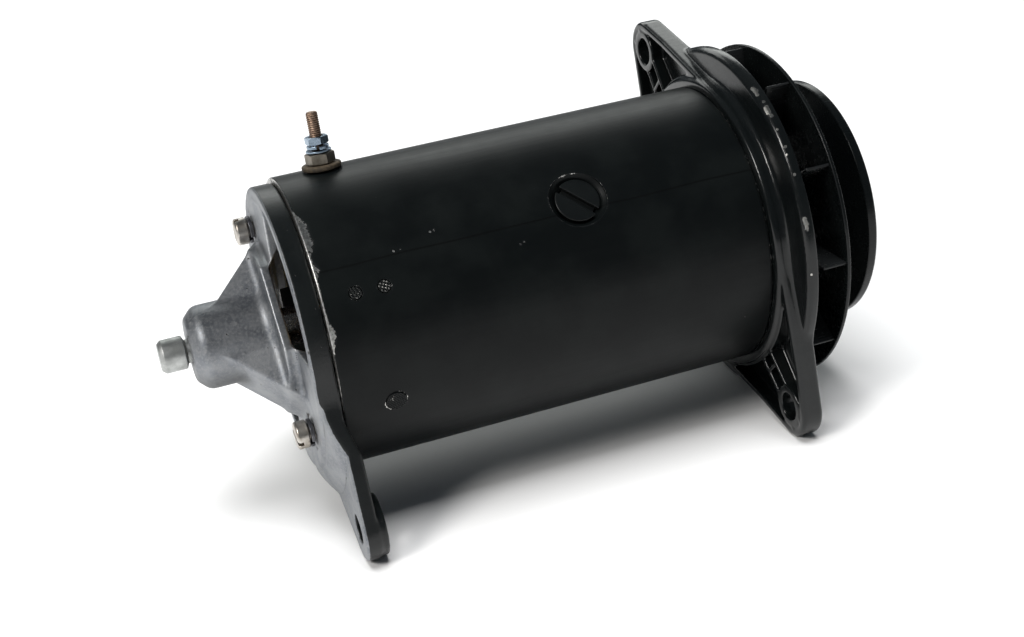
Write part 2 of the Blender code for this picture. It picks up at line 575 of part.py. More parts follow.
def build_drive_end_bracket():
    profile = [(168.9 * MM, SPIGOT_INNER_R), (168.9 * MM, SPIGOT_R), (DE_FACE_X, SPIGOT_R),
               (DE_FACE_X, 59 * MM), (174.4 * MM, DE_COLLAR_R), (176.4 * MM, DE_COLLAR_R),
               (178.9 * MM, 63.6 * MM), (179.8 * MM, 70.2 * MM), (DE_RIM_X, DE_RIM_R),
               (183.7 * MM, DE_RIM_R), (DE_BACK_X, 71.2 * MM), (DE_BACK_X, 28.5 * MM),
               (DE_WALL_X, 28.5 * MM), (DE_WALL_X, SPIGOT_INNER_R)]
    bracket = add_object("drive_end_bracket", lathe(profile, ROUND), BLACK_PAINT, MACHINE)

    housing_end = BEARING_X + BEARING_WIDTH + GAP
    hub = [(BEARING_X - GAP, BEARING_OUTER_R + GAP), (BEARING_X - GAP, 29.5 * MM),
           (DE_BACK_X - GAP, 29.5 * MM), (DE_BACK_X - GAP, 15 * MM), (housing_end, 15 * MM),
           (housing_end, BEARING_OUTER_R + GAP)]
    combine(bracket, cutter("de_hub_body", lathe(hub, 36), MACHINE), "UNION")
    inside = cutter("lug_inner_tool", ring(160 * MM, 190 * MM, 0, 56 * MM, ROUND), MACHINE)
    for side in (-1, 1):
        blank = prism(lug_outline(side, LUG_WAIST_R, 12), DE_FACE_X + 0.1 * MM, DE_BACK_X - 0.1 * MM)
        lug = cutter("de_lug_body_%d" % side, blank, MACHINE)
        slope = [(165 * MM, side * LUG_SLOPE_Z), (DE_FACE_X, side * LUG_SLOPE_Z),
                 (DE_LUG_FACE_X, side * LUG_FLAT_Z), (DE_LUG_FACE_X, side * 100 * MM),
                 (165 * MM, side * 100 * MM)]
        wedge = side_prism(slope, -70 * MM, 70 * MM)
        combine(lug, cutter("lug_slope_tool_%d" % side, wedge, MACHINE))
        combine(lug, inside)
        combine(bracket, lug, "UNION")
        for mirror in (-1, 1):
            pocket = prism(pocket_outline(side, mirror), 170 * MM, LUG_WEB_X)
            combine(bracket, cutter("pocket_tool_%d_%d" % (side, mirror), pocket, MACHINE))
        middle = []
        for low, high in LUG_POCKETS_Z:
            centre = ((170 * MM + LUG_WEB_X) / 2, 0, side * (low + high) / 2)
            size = (LUG_WEB_X - 170 * MM, 2 * LUG_RIB_Y - LUG_RIB_WIDTH, high - low)
            middle.append((centre, size, NO_TURN))
        combine(bracket, cutter("rib_pocket_tool_%d" % side, boxes(middle), MACHINE))
        boss = ring(170 * MM, 180 * MM, 0, 6 * MM, 20)
        bmesh.ops.translate(boss, verts=boss.verts, vec=(0, 0, side * BOLT_CIRCLE_R))
        combine(bracket, cutter("bolt_boss_%d" % side, boss, MACHINE), "UNION")
    holes = []
    for side in (-1, 1):
        holes.append((ring(160 * MM, 200 * MM, 0, LUG_BORE_R, 24), (0, 0, side * LUG_REACH)))
        holes.append((ring(160 * MM, 183 * MM, 0, BOLT_SHANK_R + GAP, 20), (0, 0, side * BOLT_CIRCLE_R)))
    for turn in RETAINING_SCREW_ANGLES:
        holes.append((ring(160 * MM, 177 * MM, 0, 2.3 * MM, 12),
                      (0, -RETAINING_SCREW_CIRCLE_R * cos(turn), RETAINING_SCREW_CIRCLE_R * sin(turn))))
    for index, (tool, offset) in enumerate(holes):
        bmesh.ops.translate(tool, verts=tool.verts, vec=offset)
        combine(bracket, cutter("de_hole_tool_%d" % index, tool, MACHINE))
    spread_in, spread_out = radians(17), radians(20)
    for index in range(VENT_COUNT):
        middle = radians(360 / VENT_COUNT * index)
        vent = arc((0, 0), VENT_INNER_R, middle - spread_in, middle + spread_in, 2)
        vent += arc((0, 0), VENT_OUTER_R, middle + spread_out, middle - spread_out, 3)
        combine(bracket, cutter("vent_tool_%d" % index, prism(vent, 160 * MM, 190 * MM), MACHINE))


# ---------------------------------------------------------------- stator: fasteners and bearings

def build_through_bolt(label, side):
    name = "through_bolt_" + label
    place = empty("bolt_" + label, MACHINE, (0, 0, side * BOLT_CIRCLE_R), (0, -pi / 2, 0))
    seat = -SPOT_FACE_X + GAP
    washer_top = seat + 2.0 * MM
    split_washer("bolt_spring_washer_" + label, seat, washer_top, BOLT_SHANK_R + GAP, BOLT_HEAD_R,
                 STEEL, place)
    low = washer_top + 0.2 * MM
    top = low + BOLT_HEAD_HEIGHT
    bolt = lathe([(BOLT_END, 0), (BOLT_END, 2.4 * MM), (BOLT_END + 0.6 * MM, BOLT_SHANK_R),
                  (low, BOLT_SHANK_R), (low, BOLT_HEAD_R), (top - 1.2 * MM, BOLT_HEAD_R),
                  (top - 0.3 * MM, BOLT_HEAD_R - 0.6 * MM), (top, BOLT_HEAD_R - 1.6 * MM),
                  (top, 0)], 16, "Z")
    made = add_object(name, bolt, STEEL, place)
    slotted_head(made, name, 1.5 * MM, 2.0 * MM, top, 14 * MM, radians(35 * side), place)


def build_bearing_end():
    bush = ring(-37.5 * MM, -13.5 * MM, JOURNAL_R + GAP, 12.0 * MM, 32)
    add_object("end_bush", bush, BRONZE, MACHINE)
    bore = FELT_R + GAP
    cap = [(-38.9 * MM, bore), (-38.9 * MM, 4.6 * MM), (-45.8 * MM, 4.6 * MM), (-45.8 * MM, 5.4 * MM),
           (-46.7 * MM, CAP_R), (-54.2 * MM, CAP_R), (-55.6 * MM, 5.9 * MM), (CAP_END_X, 4.6 * MM),
           (CAP_END_X, 0), (-52 * MM, 0), (-52 * MM, bore)]
    add_object("lubricator_cap", lathe(cap, 20), STEEL, MACHINE)
    add_object("lubricator_felt", ring(-51.7 * MM, -36.2 * MM, 0, FELT_R, 20), FELT, MACHINE)


def build_bearing():
    middle = BEARING_X + BEARING_WIDTH / 2
    end = BEARING_X + BEARING_WIDTH
    groove_r = BALL_R + 0.35 * MM
    inner_land, outer_land = 12.4 * MM, 16.5 * MM
    half = sqrt(groove_r ** 2 - (BALL_CIRCLE_R - inner_land) ** 2)
    inner = [(BEARING_X, BEARING_BORE_R), (BEARING_X, inner_land)]
    inner += [(middle + x, BALL_CIRCLE_R - sqrt(groove_r ** 2 - x ** 2)) for x in (-half, 0, half)]
    inner += [(end, inner_land), (end, BEARING_BORE_R)]
    outer = [(BEARING_X, BEARING_OUTER_R), (BEARING_X, outer_land)]
    outer += [(middle + x, BALL_CIRCLE_R + sqrt(groove_r ** 2 - x ** 2)) for x in (-half, 0, half)]
    outer += [(end, outer_land), (end, BEARING_OUTER_R)]
    add_object("bearing_inner_ring", lathe(inner, 28), STEEL, ROTOR)
    add_object("bearing_outer_ring", lathe(outer, 32), STEEL, MACHINE)
    band = ring(middle - 1.6 * MM, middle + 1.6 * MM, CAGE_INNER_R, CAGE_OUTER_R, 28)
    cage = add_object("bearing_cage_and_balls", band, STEEL, ROTOR)
    balls = bmesh.new()
    for index in range(BALL_COUNT):
        turn = 2 * pi * index / BALL_COUNT
        spot = Matrix.Translation((middle, BALL_CIRCLE_R * cos(turn), BALL_CIRCLE_R * sin(turn)))
        bmesh.ops.create_icosphere(balls, subdivisions=1, radius=BALL_R, matrix=spot)
    combine(cage, cutter("ball_bodies", balls, ROTOR), "UNION")


def build_retaining_plate():
    plate_low, plate_high = BEARING_X - 2.3 * MM, BEARING_X - 2 * GAP
    disc = ring(plate_low, plate_high, RETAINING_PLATE_INNER_R, RETAINING_PLATE_R, 28)
    plate = add_object("bearing_retaining_plate", disc, STEEL, MACHINE)
    low = -plate_low + GAP
    top = low + 2 * MM
    for index, turn in enumerate(RETAINING_SCREW_ANGLES):
        offset = (0, -RETAINING_SCREW_CIRCLE_R * cos(turn), RETAINING_SCREW_CIRCLE_R * sin(turn))
        hole = ring(plate_low - MM, plate_high + MM, 0, 2.4 * MM, 12)
        bmesh.ops.translate(hole, verts=hole.verts, vec=offset)
        combine(plate, cutter("retaining_hole_tool_%d" % index, hole, MACHINE))
        name = "retaining_screw_%d" % (index + 1)
        place = empty("retaining_screw_place_%d" % (index + 1), MACHINE, offset, (0, -pi / 2, 0))
        screw = lathe([(-176.4 * MM, 0), (-176.4 * MM, 2 * MM), (low, 2 * MM), (low, 3.4 * MM),
                       (low + 1.4 * MM, 3.4 * MM), (top, 2.6 * MM), (top, 0)], 12, "Z")
        made = add_object(name, screw, STEEL, place)
        slotted_head(made, name, 0.9 * MM, 0.9 * MM, top, 9 * MM, turn, place)


# ---------------------------------------------------------------- stator: terminal and rivets

def build_terminal():
    place = station("terminal_place", TERMINAL_X, TERMINAL_ANGLE)
    bore = STUD_R + GAP
    base = YOKE_R + 0.35 * MM
    stud = lathe([(44.6 * MM, 0), (44.6 * MM, 5 * MM), (46.6 * MM, 5 * MM), (46.6 * MM, STUD_R),
                  (TERMINAL_TIP_R - 0.9 * MM, STUD_R), (TERMINAL_TIP_R, STUD_R - 0.8 * MM),
                  (TERMINAL_TIP_R, 0)], 20, "Z")
    add_object("terminal_stud", stud, STUD_METAL, place)
    inside = YOKE_BORE_R - 1.0 * MM
    bush = [(46.9 * MM, bore), (46.9 * MM, 7 * MM), (inside - GAP, 7 * MM), (inside - GAP, 4.6 * MM),
            (YOKE_R - 0.2 * MM, 4.6 * MM), (YOKE_R - 0.2 * MM, bore)]
    add_object("terminal_insulating_bush", lathe(bush, 20, "Z"), FIBRE, place)
    washer = ring(base, base + 1.9 * MM, bore, 7.6 * MM, 20, "Z", chamfer=0.5 * MM)
    add_object("terminal_fibre_washer", washer, FIBRE, place)
    top = base + 1.9 * MM
    nut("terminal_lower_nut", 10 * MM, bore, top + GAP, top + GAP + 4.1 * MM, STEEL, place)
    top += GAP + 4.1 * MM
    flat = ring(top + GAP, top + GAP + 0.8 * MM, bore, 4.9 * MM, 20, "Z")
    add_object("terminal_flat_washer", flat, ZINC, place)
    top += GAP + 0.8 * MM
    split_washer("terminal_spring_washer", top + 0.2 * MM, top + 1.9 * MM, bore, 4.3 * MM,
                 ZINC, place, steps=16)
    top += 1.9 * MM
    nut("terminal_upper_nut", 8 * MM, bore, top + GAP, top + GAP + 3 * MM, ZINC, place)


def build_rivets():
    for label, half_turn in (("front", 0), ("rear", pi)):
        for index, x in enumerate(HOLDER_RIVET_X):
            name = "holder_rivet_%s_%d" % (label, index + 1)
            place = station(name + "_place", x, BRUSH_ANGLE + half_turn)
            rivet = lathe([(47.3 * MM, 0), (47.3 * MM, 3 * MM), (48.1 * MM, 3 * MM),
                           (48.1 * MM, 2.3 * MM), (YOKE_R + 0.25 * MM, 2.3 * MM),
                           (YOKE_R + 0.45 * MM, 2 * MM), (YOKE_R + 0.45 * MM, 0)], 12, "Z")
            add_object(name, rivet, BLACK_PAINT, place)
    place = station("field_earth_rivet_place", EARTH_RIVET_X, EARTH_RIVET_ANGLE)
    rivet = lathe([(47.6 * MM, 0), (47.6 * MM, 5.6 * MM), (49.9 * MM, 5.6 * MM),
                   (49.9 * MM, 3.9 * MM), (YOKE_R + 0.3 * MM, 3.9 * MM),
                   (YOKE_R + 0.6 * MM, 3.5 * MM), (YOKE_R + 0.6 * MM, 0)], 16, "Z")
    add_object("field_earth_rivet", rivet, BLACK_PAINT, place)


# ---------------------------------------------------------------- brush gear

def build_brush_gear(label, half_turn):
    place = station("brush_place_" + label, BRUSH_X, BRUSH_ANGLE + half_turn)
    out_x, out_y = BRUSH_HALF_X + GAP + HOLDER_WALL, BRUSH_HALF_Y + GAP + HOLDER_WALL
    low, top = 23.8 * MM, 49.8 * MM
    pivot_r = BRUSH_TOP_R + GAP + 1.5 * MM

    case = boxes([((0, 0, (low + top) / 2), (2 * out_x, 2 * out_y, top - low), NO_TURN)])
    holder = add_object("brush_holder_" + label, case, BRASS, place)
    cheeks = boxes([((side * 3.4 * MM, -11 * MM, pivot_r), (1.4 * MM, 15 * MM, 6.5 * MM), NO_TURN)
                    for side in (-1, 1)])
    combine(holder, cutter("holder_cheeks_" + label, cheeks, place), "UNION")
    ceiling = 48.4 * MM
    floor = low - MM
    cavity = boxes([((0, 0, (floor + ceiling) / 2),
                     (2 * (BRUSH_HALF_X + GAP), 2 * (BRUSH_HALF_Y + GAP), ceiling - floor), NO_TURN)])
    combine(holder, cutter("holder_cavity_" + label, cavity, place))
    slot_low, slot_top = pivot_r - 2.2 * MM, 47.4 * MM
    slot = boxes([((0, -out_y, (slot_low + slot_top) / 2),
                   (5.2 * MM, 4 * HOLDER_WALL, slot_top - slot_low), NO_TURN)])
    combine(holder, cutter("holder_slot_" + label, slot, place))
    pin = ring(-4 * MM, 4 * MM, 0, 1.5 * MM, 12)
    bmesh.ops.translate(pin, verts=pin.verts, vec=(0, -ARM_PIVOT_OFFSET, pivot_r))
    combine(holder, cutter("holder_pin_" + label, pin, place), "UNION")
    for index, x in enumerate(HOLDER_RIVET_X):
        hole = ring(46 * MM, 52 * MM, 0, 2.6 * MM, 16, "Z")
        bmesh.ops.translate(hole, verts=hole.verts, vec=(x - BRUSH_X, 0, 0))
        combine(holder, cutter("holder_rivet_tool_%s_%d" % (label, index), hole, place))

    foot = BRUSH_FOOT_R - 2 * MM
    block = boxes([((0, 0, (BRUSH_TOP_R + foot) / 2),
                    (2 * BRUSH_HALF_X, 2 * BRUSH_HALF_Y, BRUSH_TOP_R - foot), NO_TURN)])
    brush = add_object("brush_" + label, block, CARBON, place)
    face = ring(-20 * MM, 20 * MM, 0, BRUSH_FOOT_R, 96)
    combine(brush, cutter("brush_face_tool_" + label, face, place))

    pivot = empty("brush_arm_pivot_" + label, place, (0, -ARM_PIVOT_OFFSET, pivot_r))
    blade = boxes([((0, ARM_PIVOT_OFFSET / 2, 0), (4 * MM, ARM_PIVOT_OFFSET, 1.2 * MM), NO_TURN)])
    arm = add_object("brush_spring_arm_" + label, blade, SPRING, pivot)
    toe = ring(-2 * MM, 2 * MM, 0, 1.5 * MM, 10)
    bmesh.ops.translate(toe, verts=toe.verts, vec=(0, ARM_PIVOT_OFFSET, 0))
    combine(arm, cutter("arm_toe_" + label, toe, pivot), "UNION")
    combine(arm, cutter("arm_coil_" + label, ring(-2.3 * MM, 2.3 * MM, 0, 3.3 * MM, 16), pivot), "UNION")
    combine(arm, cutter("arm_eye_tool_" + label, ring(-6 * MM, 6 * MM, 0, 1.85 * MM, 14), pivot))


# ---------------------------------------------------------------- rotor

def build_shaft():
    profile = [(-35.5 * MM, 0), (-35.5 * MM, JOURNAL_R - MM), (-34.5 * MM, JOURNAL_R), (2.5 * MM, JOURNAL_R),
               (2.5 * MM, SHAFT_R), (165.8 * MM, SHAFT_R), (165.8 * MM, SEAT_R), (217.4 * MM, SEAT_R),
               (217.4 * MM, NUT_THREAD_R), (SHAFT_END_X - MM, NUT_THREAD_R),
               (SHAFT_END_X, NUT_THREAD_R - MM), (SHAFT_END_X, 0)]
    shaft = add_object("armature_shaft", lathe(profile, 24), STEEL, ROTOR)
    keyway = boxes([((KEY_X, 0, 8.4 * MM), (10.6 * MM, 4.6 * MM, 6.6 * MM), NO_TURN)])
    combine(shaft, cutter("shaft_keyway_tool", keyway, ROTOR))
    key = boxes([((KEY_X, 0, 7.8 * MM), (10 * MM, 4 * MM, 4.8 * MM), NO_TURN)])
    add_object("shaft_key", key, STEEL, ROTOR)


def slot_boxes(half_length, low, high, width):
    centre = (POLE_X, 0, (low + high) / 2)
    size = (2 * half_length, width, high - low)
    return boxes([(centre, size, around_x(2 * pi * i / SLOT_COUNT)) for i in range(SLOT_COUNT)])


def build_armature():
    half = POLE_LENGTH / 2 - 2 * MM
    stack = ring(POLE_X - half, POLE_X + half, SHAFT_R + GAP, CORE_R, 54)
    core = add_object("armature_core", stack, LAMINATED, ROTOR)
    slots = slot_boxes(half + 5 * MM, SLOT_FLOOR_R, CORE_R + 3 * MM, SLOT_WIDTH)
    combine(core, cutter("slot_tools", slots, ROTOR))

    near, far = POLE_X - half - GAP, POLE_X + half + GAP
    bore = SHAFT_R + 1.2 * MM
    front = [(35.2 * MM, bore), (35.2 * MM, 22 * MM), (38.5 * MM, 30 * MM), (46 * MM, 35.2 * MM),
             (near, 35.2 * MM), (near, bore)]
    rear = [(far, bore), (far, 35.2 * MM), (158 * MM, 35.2 * MM), (163.8 * MM, 29 * MM),
            (163.8 * MM, bore)]
    winding = add_object("armature_winding", lathe(front, 28), VARNISH, ROTOR)
    bars = slot_boxes(half + 3 * MM, SLOT_FLOOR_R + 0.4 * MM, CORE_R - 1.4 * MM, SLOT_WIDTH - 0.7 * MM)
    combine(winding, cutter("slot_bars", bars, ROTOR), "UNION")
    combine(winding, cutter("rear_end_turns", lathe(rear, 28), ROTOR), "UNION")


def build_commutator():
    profile = [(5 * MM, 14.2 * MM), (5 * MM, COMMUTATOR_R - 0.5 * MM), (5.5 * MM, COMMUTATOR_R),
               (30 * MM, COMMUTATOR_R), (30 * MM, 23 * MM), (34.2 * MM, 23 * MM), (34.2 * MM, 14.2 * MM)]
    commutator = add_object("commutator", lathe(profile, 36), COPPER, ROTOR)
    centre, size = (17 * MM, 0, COMMUTATOR_R), (27 * MM, 0.7 * MM, 1.6 * MM)
    grooves = boxes([(centre, size, around_x(2 * pi * i / COMMUTATOR_BARS)) for i in range(COMMUTATOR_BARS)])
    combine(commutator, cutter("commutator_grooves", grooves, ROTOR))
    sleeve = ring(4.4 * MM, 34.2 * MM, SHAFT_R + GAP, 13.9 * MM, 32)
    add_object("commutator_insulator", sleeve, FIBRE, ROTOR)


def build_fan():
    disc = lathe([(FAN_DISC_X, 9 * MM), (FAN_DISC_X, FAN_R), (FAN_DISC_X + 1.5 * MM, FAN_R),
                  (FAN_DISC_X + 1.5 * MM, 9 * MM)], ROUND)
    fan = add_object("fan", disc, BLACK_PAINT, ROTOR)
    outer, inner = 68.4 * MM, 40 * MM
    length = FAN_DISC_X + 0.6 * MM - FAN_BLADE_X
    centre = (FAN_BLADE_X + length / 2, 0, (outer + inner) / 2)
    size = (length, 1.2 * MM, outer - inner)
    blades = boxes([(centre, size, around_x(FAN_BLADE_PHASE - 2 * pi * i / FAN_BLADES))
                    for i in range(FAN_BLADES)])
    combine(fan, cutter("fan_blades", blades, ROTOR), "UNION")
    collar = ring(181.8 * MM, FAN_DISC_X - GAP, SEAT_R + GAP, 13 * MM, 32)
    add_object("distance_collar", collar, STEEL, ROTOR)


def build_pulley():
    hub_r = 15.5 * MM
    profile = [(PULLEY_BACK_X, SEAT_R + GAP), (PULLEY_BACK_X, 24 * MM), (201.4 * MM, 25.5 * MM),
               (201.4 * MM, 49.2 * MM), (202.3 * MM, PULLEY_R), (204.6 * MM, PULLEY_R),
               (209.2 * MM, GROOVE_FLOOR_R), (214.8 * MM, GROOVE_FLOOR_R), (219.4 * MM, PULLEY_R),
               (222.4 * MM, PULLEY_R), (PULLEY_FACE_X, 49.2 * MM), (PULLEY_FACE_X, 46.5 * MM),
               (217.2 * MM, 33 * MM), (207.5 * MM, 31 * MM), (207.5 * MM, hub_r), (217.7 * MM, hub_r),
               (217.7 * MM, SEAT_R + GAP)]
    pulley = add_object("pulley", lathe(profile, ROUND), BLACK_PAINT, ROTOR)
    keyway = boxes([((209 * MM, 0, 9 * MM), (24 * MM, 4.6 * MM, 3.6 * MM), NO_TURN)])
    combine(pulley, cutter("pulley_keyway_tool", keyway, ROTOR))
    tail = empty("pulley_nut_place", ROTOR, (0, 0, 0), (0, pi / 2, 0))
    split_washer("pulley_spring_washer", 218.0 * MM, 220.4 * MM, 8.0 * MM, 12.4 * MM, STEEL, tail)
    nut("pulley_nut", 22 * MM, 8.0 * MM, 220.6 * MM, 226.4 * MM, STEEL, tail)


clear_scene()
MACHINE = empty("machine_frame", None, (-(CAP_END_X + SHAFT_END_X) / 2, 0, DE_RIM_R), (LEAN - pi / 2, 0, 0))
ROTOR = empty("rotor_axis", MACHINE)

build_yoke()
for pole_label, pole_angle in (("front", 0), ("rear", pi)):
    build_pole(pole_label, pole_angle)
    build_brush_gear(pole_label, pole_angle)
build_commutator_end_bracket()
build_drive_end_bracket()
build_through_bolt("top", 1)
build_through_bolt("bottom", -1)
build_bearing_end()
build_bearing()
build_retaining_plate()
build_terminal()
build_rivets()
build_shaft()
build_armature()
build_commutator()
build_fan()
build_pulley()
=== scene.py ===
"""Finished look of the direct-current dynamo: fine pieces, materials, camera, light and floor.

Pieces are drawn in the machine's own frame, in millimetres: +X runs along the shaft from the commutator
end, with x = 0 at the end of the yoke, +Z points to the upper mounting lug and -Y through the front pole
screw. An angle is measured round the shaft from -Y towards +Z. They are then laid down as the CAD is.
Castings, nuts, screws and rivets are distance fields turned into meshes; turned parts are lathed outlines.
"""

import json
from itertools import product
from math import asin, cos, hypot, pi, radians, sin, sqrt, tan

import bmesh
import bpy
import numpy as np
from mathutils import Matrix, Vector

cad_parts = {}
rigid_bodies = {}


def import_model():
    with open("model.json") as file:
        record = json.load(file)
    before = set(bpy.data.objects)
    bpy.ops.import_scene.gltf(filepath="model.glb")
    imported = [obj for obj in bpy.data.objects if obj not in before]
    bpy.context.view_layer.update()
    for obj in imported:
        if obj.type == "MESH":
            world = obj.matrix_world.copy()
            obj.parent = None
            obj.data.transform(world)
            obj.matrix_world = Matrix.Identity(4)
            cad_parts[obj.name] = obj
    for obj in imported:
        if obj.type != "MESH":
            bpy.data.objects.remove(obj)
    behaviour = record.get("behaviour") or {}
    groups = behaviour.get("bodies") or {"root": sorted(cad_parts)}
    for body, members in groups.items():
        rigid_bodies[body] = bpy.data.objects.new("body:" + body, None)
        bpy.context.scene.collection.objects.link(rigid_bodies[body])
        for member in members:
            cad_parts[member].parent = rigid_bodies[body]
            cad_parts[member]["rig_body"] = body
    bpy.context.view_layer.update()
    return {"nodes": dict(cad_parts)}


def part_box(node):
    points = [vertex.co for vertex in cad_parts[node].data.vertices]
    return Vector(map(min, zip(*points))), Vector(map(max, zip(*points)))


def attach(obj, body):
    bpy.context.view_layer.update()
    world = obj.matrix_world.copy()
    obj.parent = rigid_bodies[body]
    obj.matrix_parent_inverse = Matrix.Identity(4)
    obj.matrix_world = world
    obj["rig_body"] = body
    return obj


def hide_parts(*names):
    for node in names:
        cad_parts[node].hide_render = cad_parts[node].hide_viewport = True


MM = 0.001

# Sizes shared with the CAD
YOKE_R, YOKE_BORE_R, YOKE_LENGTH = 57.15, 50.5, 172.6
POLE_X, POLE_SCREW_SLOT_ANGLE = 102.6, radians(-46)
LUG_REACH, LUG_TIP_R, LUG_BORE_R = 84.3, 12.5, 5.6
RIM_X, RIM_R = -8.5, 55.2
BOLT_CIRCLE_R = 43.5
BRUSH_ANGLE = radians(-15)
HOLDER_RIVET_X = (12.6, 23.3)
EARTH_RIVET_X, EARTH_RIVET_ANGLE = 19.8, radians(-59.2)
TERMINAL_X, TERMINAL_ANGLE = 18.7, radians(52.4)
FAN_R, FAN_BLADES, FAN_BLADE_PHASE = 69.7, 11, radians(20.8)
DE_RIM_R = 72.0
PULLEY_R = 50.1
LEAN = asin((DE_RIM_R - LUG_TIP_R) / LUG_REACH)

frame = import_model()


def machine_matrix():
    """The machine's frame in the row frame, read from the yoke's end and the shaft's axis."""
    yoke_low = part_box("yoke")[0]
    shaft_low, shaft_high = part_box("armature_shaft")
    middle = (shaft_low + shaft_high) / 2
    origin = Vector((yoke_low.x, middle.y, middle.z))
    return Matrix.Translation(origin) @ Matrix.Rotation(LEAN - pi / 2, 4, "X") @ Matrix.Scale(MM, 4)


MACHINE = machine_matrix()
AXIS_HEIGHT = MACHINE.translation.z / MM


def station(x, angle):
    """A frame on the shaft axis whose +Z points outwards at the angle."""
    return Matrix.Translation((x, 0, 0)) @ Matrix.Rotation(pi / 2 - angle, 4, "X")


def facing_end(y, z):
    """A frame beside the shaft axis whose +Z points out of the commutator end."""
    return Matrix.Translation((0, y, z)) @ Matrix.Rotation(-pi / 2, 4, "Y")


FACING_PULLEY = Matrix.Rotation(pi / 2, 4, "Y")


# ---------------------------------------------------------------- solids as (points, faces, normals)

def moved(solid, matrix):
    points, faces, normals = solid
    turn = np.array(matrix.to_3x3())
    placed = points @ turn.T + np.array(matrix.translation)
    return placed, faces, None if normals is None else normals @ turn.T


def joined(*solids):
    points, faces, normals = [], [], []
    for part, part_faces, part_normals in solids:
        start = sum(len(p) for p in points)
        points.append(part)
        faces.extend([tuple(i + start for i in face) for face in part_faces])
        normals.append(np.zeros_like(part) if part_normals is None else part_normals)
    return np.vstack(points), faces, np.vstack(normals)


def rounded(outline, steps=4, guard=0.6):
    """Round the corners of a closed outline of (along, radius, fillet) points, given clockwise."""
    runs = []
    for i, (a, r, fillet) in enumerate(outline):
        here = Vector((a, r))
        before = Vector(outline[i - 1][:2])
        after = Vector(outline[(i + 1) % len(outline)][:2])
        if fillet <= 0:
            runs.append([here])
            continue
        into, out = (before - here), (after - here)
        room = 0.49 * min(into.length, out.length)
        into.normalize()
        out.normalize()
        half = into.angle(out) / 2
        reach = min(fillet / tan(half), room)
        centre = here + (into + out).normalized() * (reach / cos(half))
        start, end = here + into * reach - centre, here + out * reach - centre
        turn = start.angle_signed(end)
        arc = []
        for k in range(steps + 1):
            swing = -turn * k / steps
            arc.append(centre + Vector((start.x * cos(swing) - start.y * sin(swing),
                                        start.x * sin(swing) + start.y * cos(swing))))
        runs.append(arc)
    points = []
    for i, run in enumerate(runs):
        points.extend(run)
        gap = runs[(i + 1) % len(runs)][0] - run[-1]
        if gap.length > 3 * guard:
            points.append(run[-1] + gap.normalized() * guard)
            points.append(run[-1] + gap - gap.normalized() * guard)
    return [(p.x, p.y) for p in points]


def lathe(profile, segments, axis="X"):
    """Turn a closed (along, radius) profile about the X or Z axis."""
    turns = np.arange(segments) * 2 * pi / segments
    points, rings = [], []
    for along, radius in profile:
        if radius < 1e-6:
            rings.append([len(points)] * (segments + 1))
            points.append((along, 0, 0) if axis == "X" else (0, 0, along))
            continue
        rings.append([len(points) + k % segments for k in range(segments + 1)])
        for turn in turns:
            across, up = radius * cos(turn), radius * sin(turn)
            points.append((along, across, up) if axis == "X" else (across, up, along))
    faces = []
    for first, second in zip(rings, rings[1:] + rings[:1]):
        for k in range(segments):
            face = list(dict.fromkeys((first[k], first[k + 1], second[k + 1], second[k])))
            if len(face) > 2:
                faces.append(tuple(face))
    return np.array(points, float), faces, None


def divided(profile, longest):
    """Add points to a profile so that no step is longer than the given one."""
    made = []
    for (a0, r0), (a1, r1) in zip(profile, profile[1:] + profile[:1]):
        parts = max(1, int(hypot(a1 - a0, r1 - r0) / longest))
        made += [(a0 + (a1 - a0) * k / parts, r0 + (r1 - r0) * k / parts) for k in range(parts)]
    return made


def temporary(solid):
    mesh = bpy.data.meshes.new("temporary")
    mesh.from_pydata(solid[0].tolist(), [], solid[1])
    obj = bpy.data.objects.new("temporary", mesh)
    bpy.context.scene.collection.objects.link(obj)
    work = bmesh.new()
    work.from_mesh(mesh)
    bmesh.ops.recalc_face_normals(work, faces=work.faces)
    work.to_mesh(mesh)
    work.free()
    return obj


def cut(solid, *tools):
    """The solid less the tools, which must be closed and clear of each other."""
    target = temporary(solid)
    removed = []
    for tool in tools:
        cutter = temporary(tool)
        removed.append(cutter)
        step = target.modifiers.new("cut", "BOOLEAN")
        step.operation = "DIFFERENCE"
        step.solver = "EXACT"
        step.object = cutter
    graph = bpy.context.evaluated_depsgraph_get()
    made = target.evaluated_get(graph).to_mesh()
    points = np.array([v.co for v in made.vertices], float)
    faces = [tuple(p.vertices) for p in made.polygons]
    for obj in [target, *removed]:
        bpy.data.objects.remove(obj, do_unlink=True)
    return points, faces, None


# ---------------------------------------------------------------- distance fields

def smooth_max(blend, *fields):
    """The largest of the fields, with its creases rounded over the blend width."""
    found = fields[0]
    for field in fields[1:]:
        rounding = np.maximum(blend - np.abs(found - field), 0) / blend
        found = np.maximum(found, field) + rounding * rounding * blend / 4
    return found


def smooth_min(blend, *fields):
    return -smooth_max(blend, *[-field for field in fields])


def slab(value, low, high):
    return np.maximum(low - value, value - high)


def polygon_distance(outline, u, v):
    """Signed distance to a closed outline, negative inside."""
    u, v = np.broadcast_arrays(u, v)
    nearest = np.full(u.shape, 1e9, u.dtype)
    inside = np.zeros(u.shape, bool)
    for (u0, v0), (u1, v1) in zip(outline, outline[1:] + outline[:1]):
        du, dv = u1 - u0, v1 - v0
        along, across = u - u0, v - v0
        share = np.clip((along * du + across * dv) / (du * du + dv * dv), 0, 1)
        nearest = np.minimum(nearest, (along - share * du) ** 2 + (across - share * dv) ** 2)
        if dv:
            inside ^= ((v0 > v) != (v1 > v)) & (along < across * du / dv)
    return np.sqrt(nearest) * np.where(inside, -1, 1)


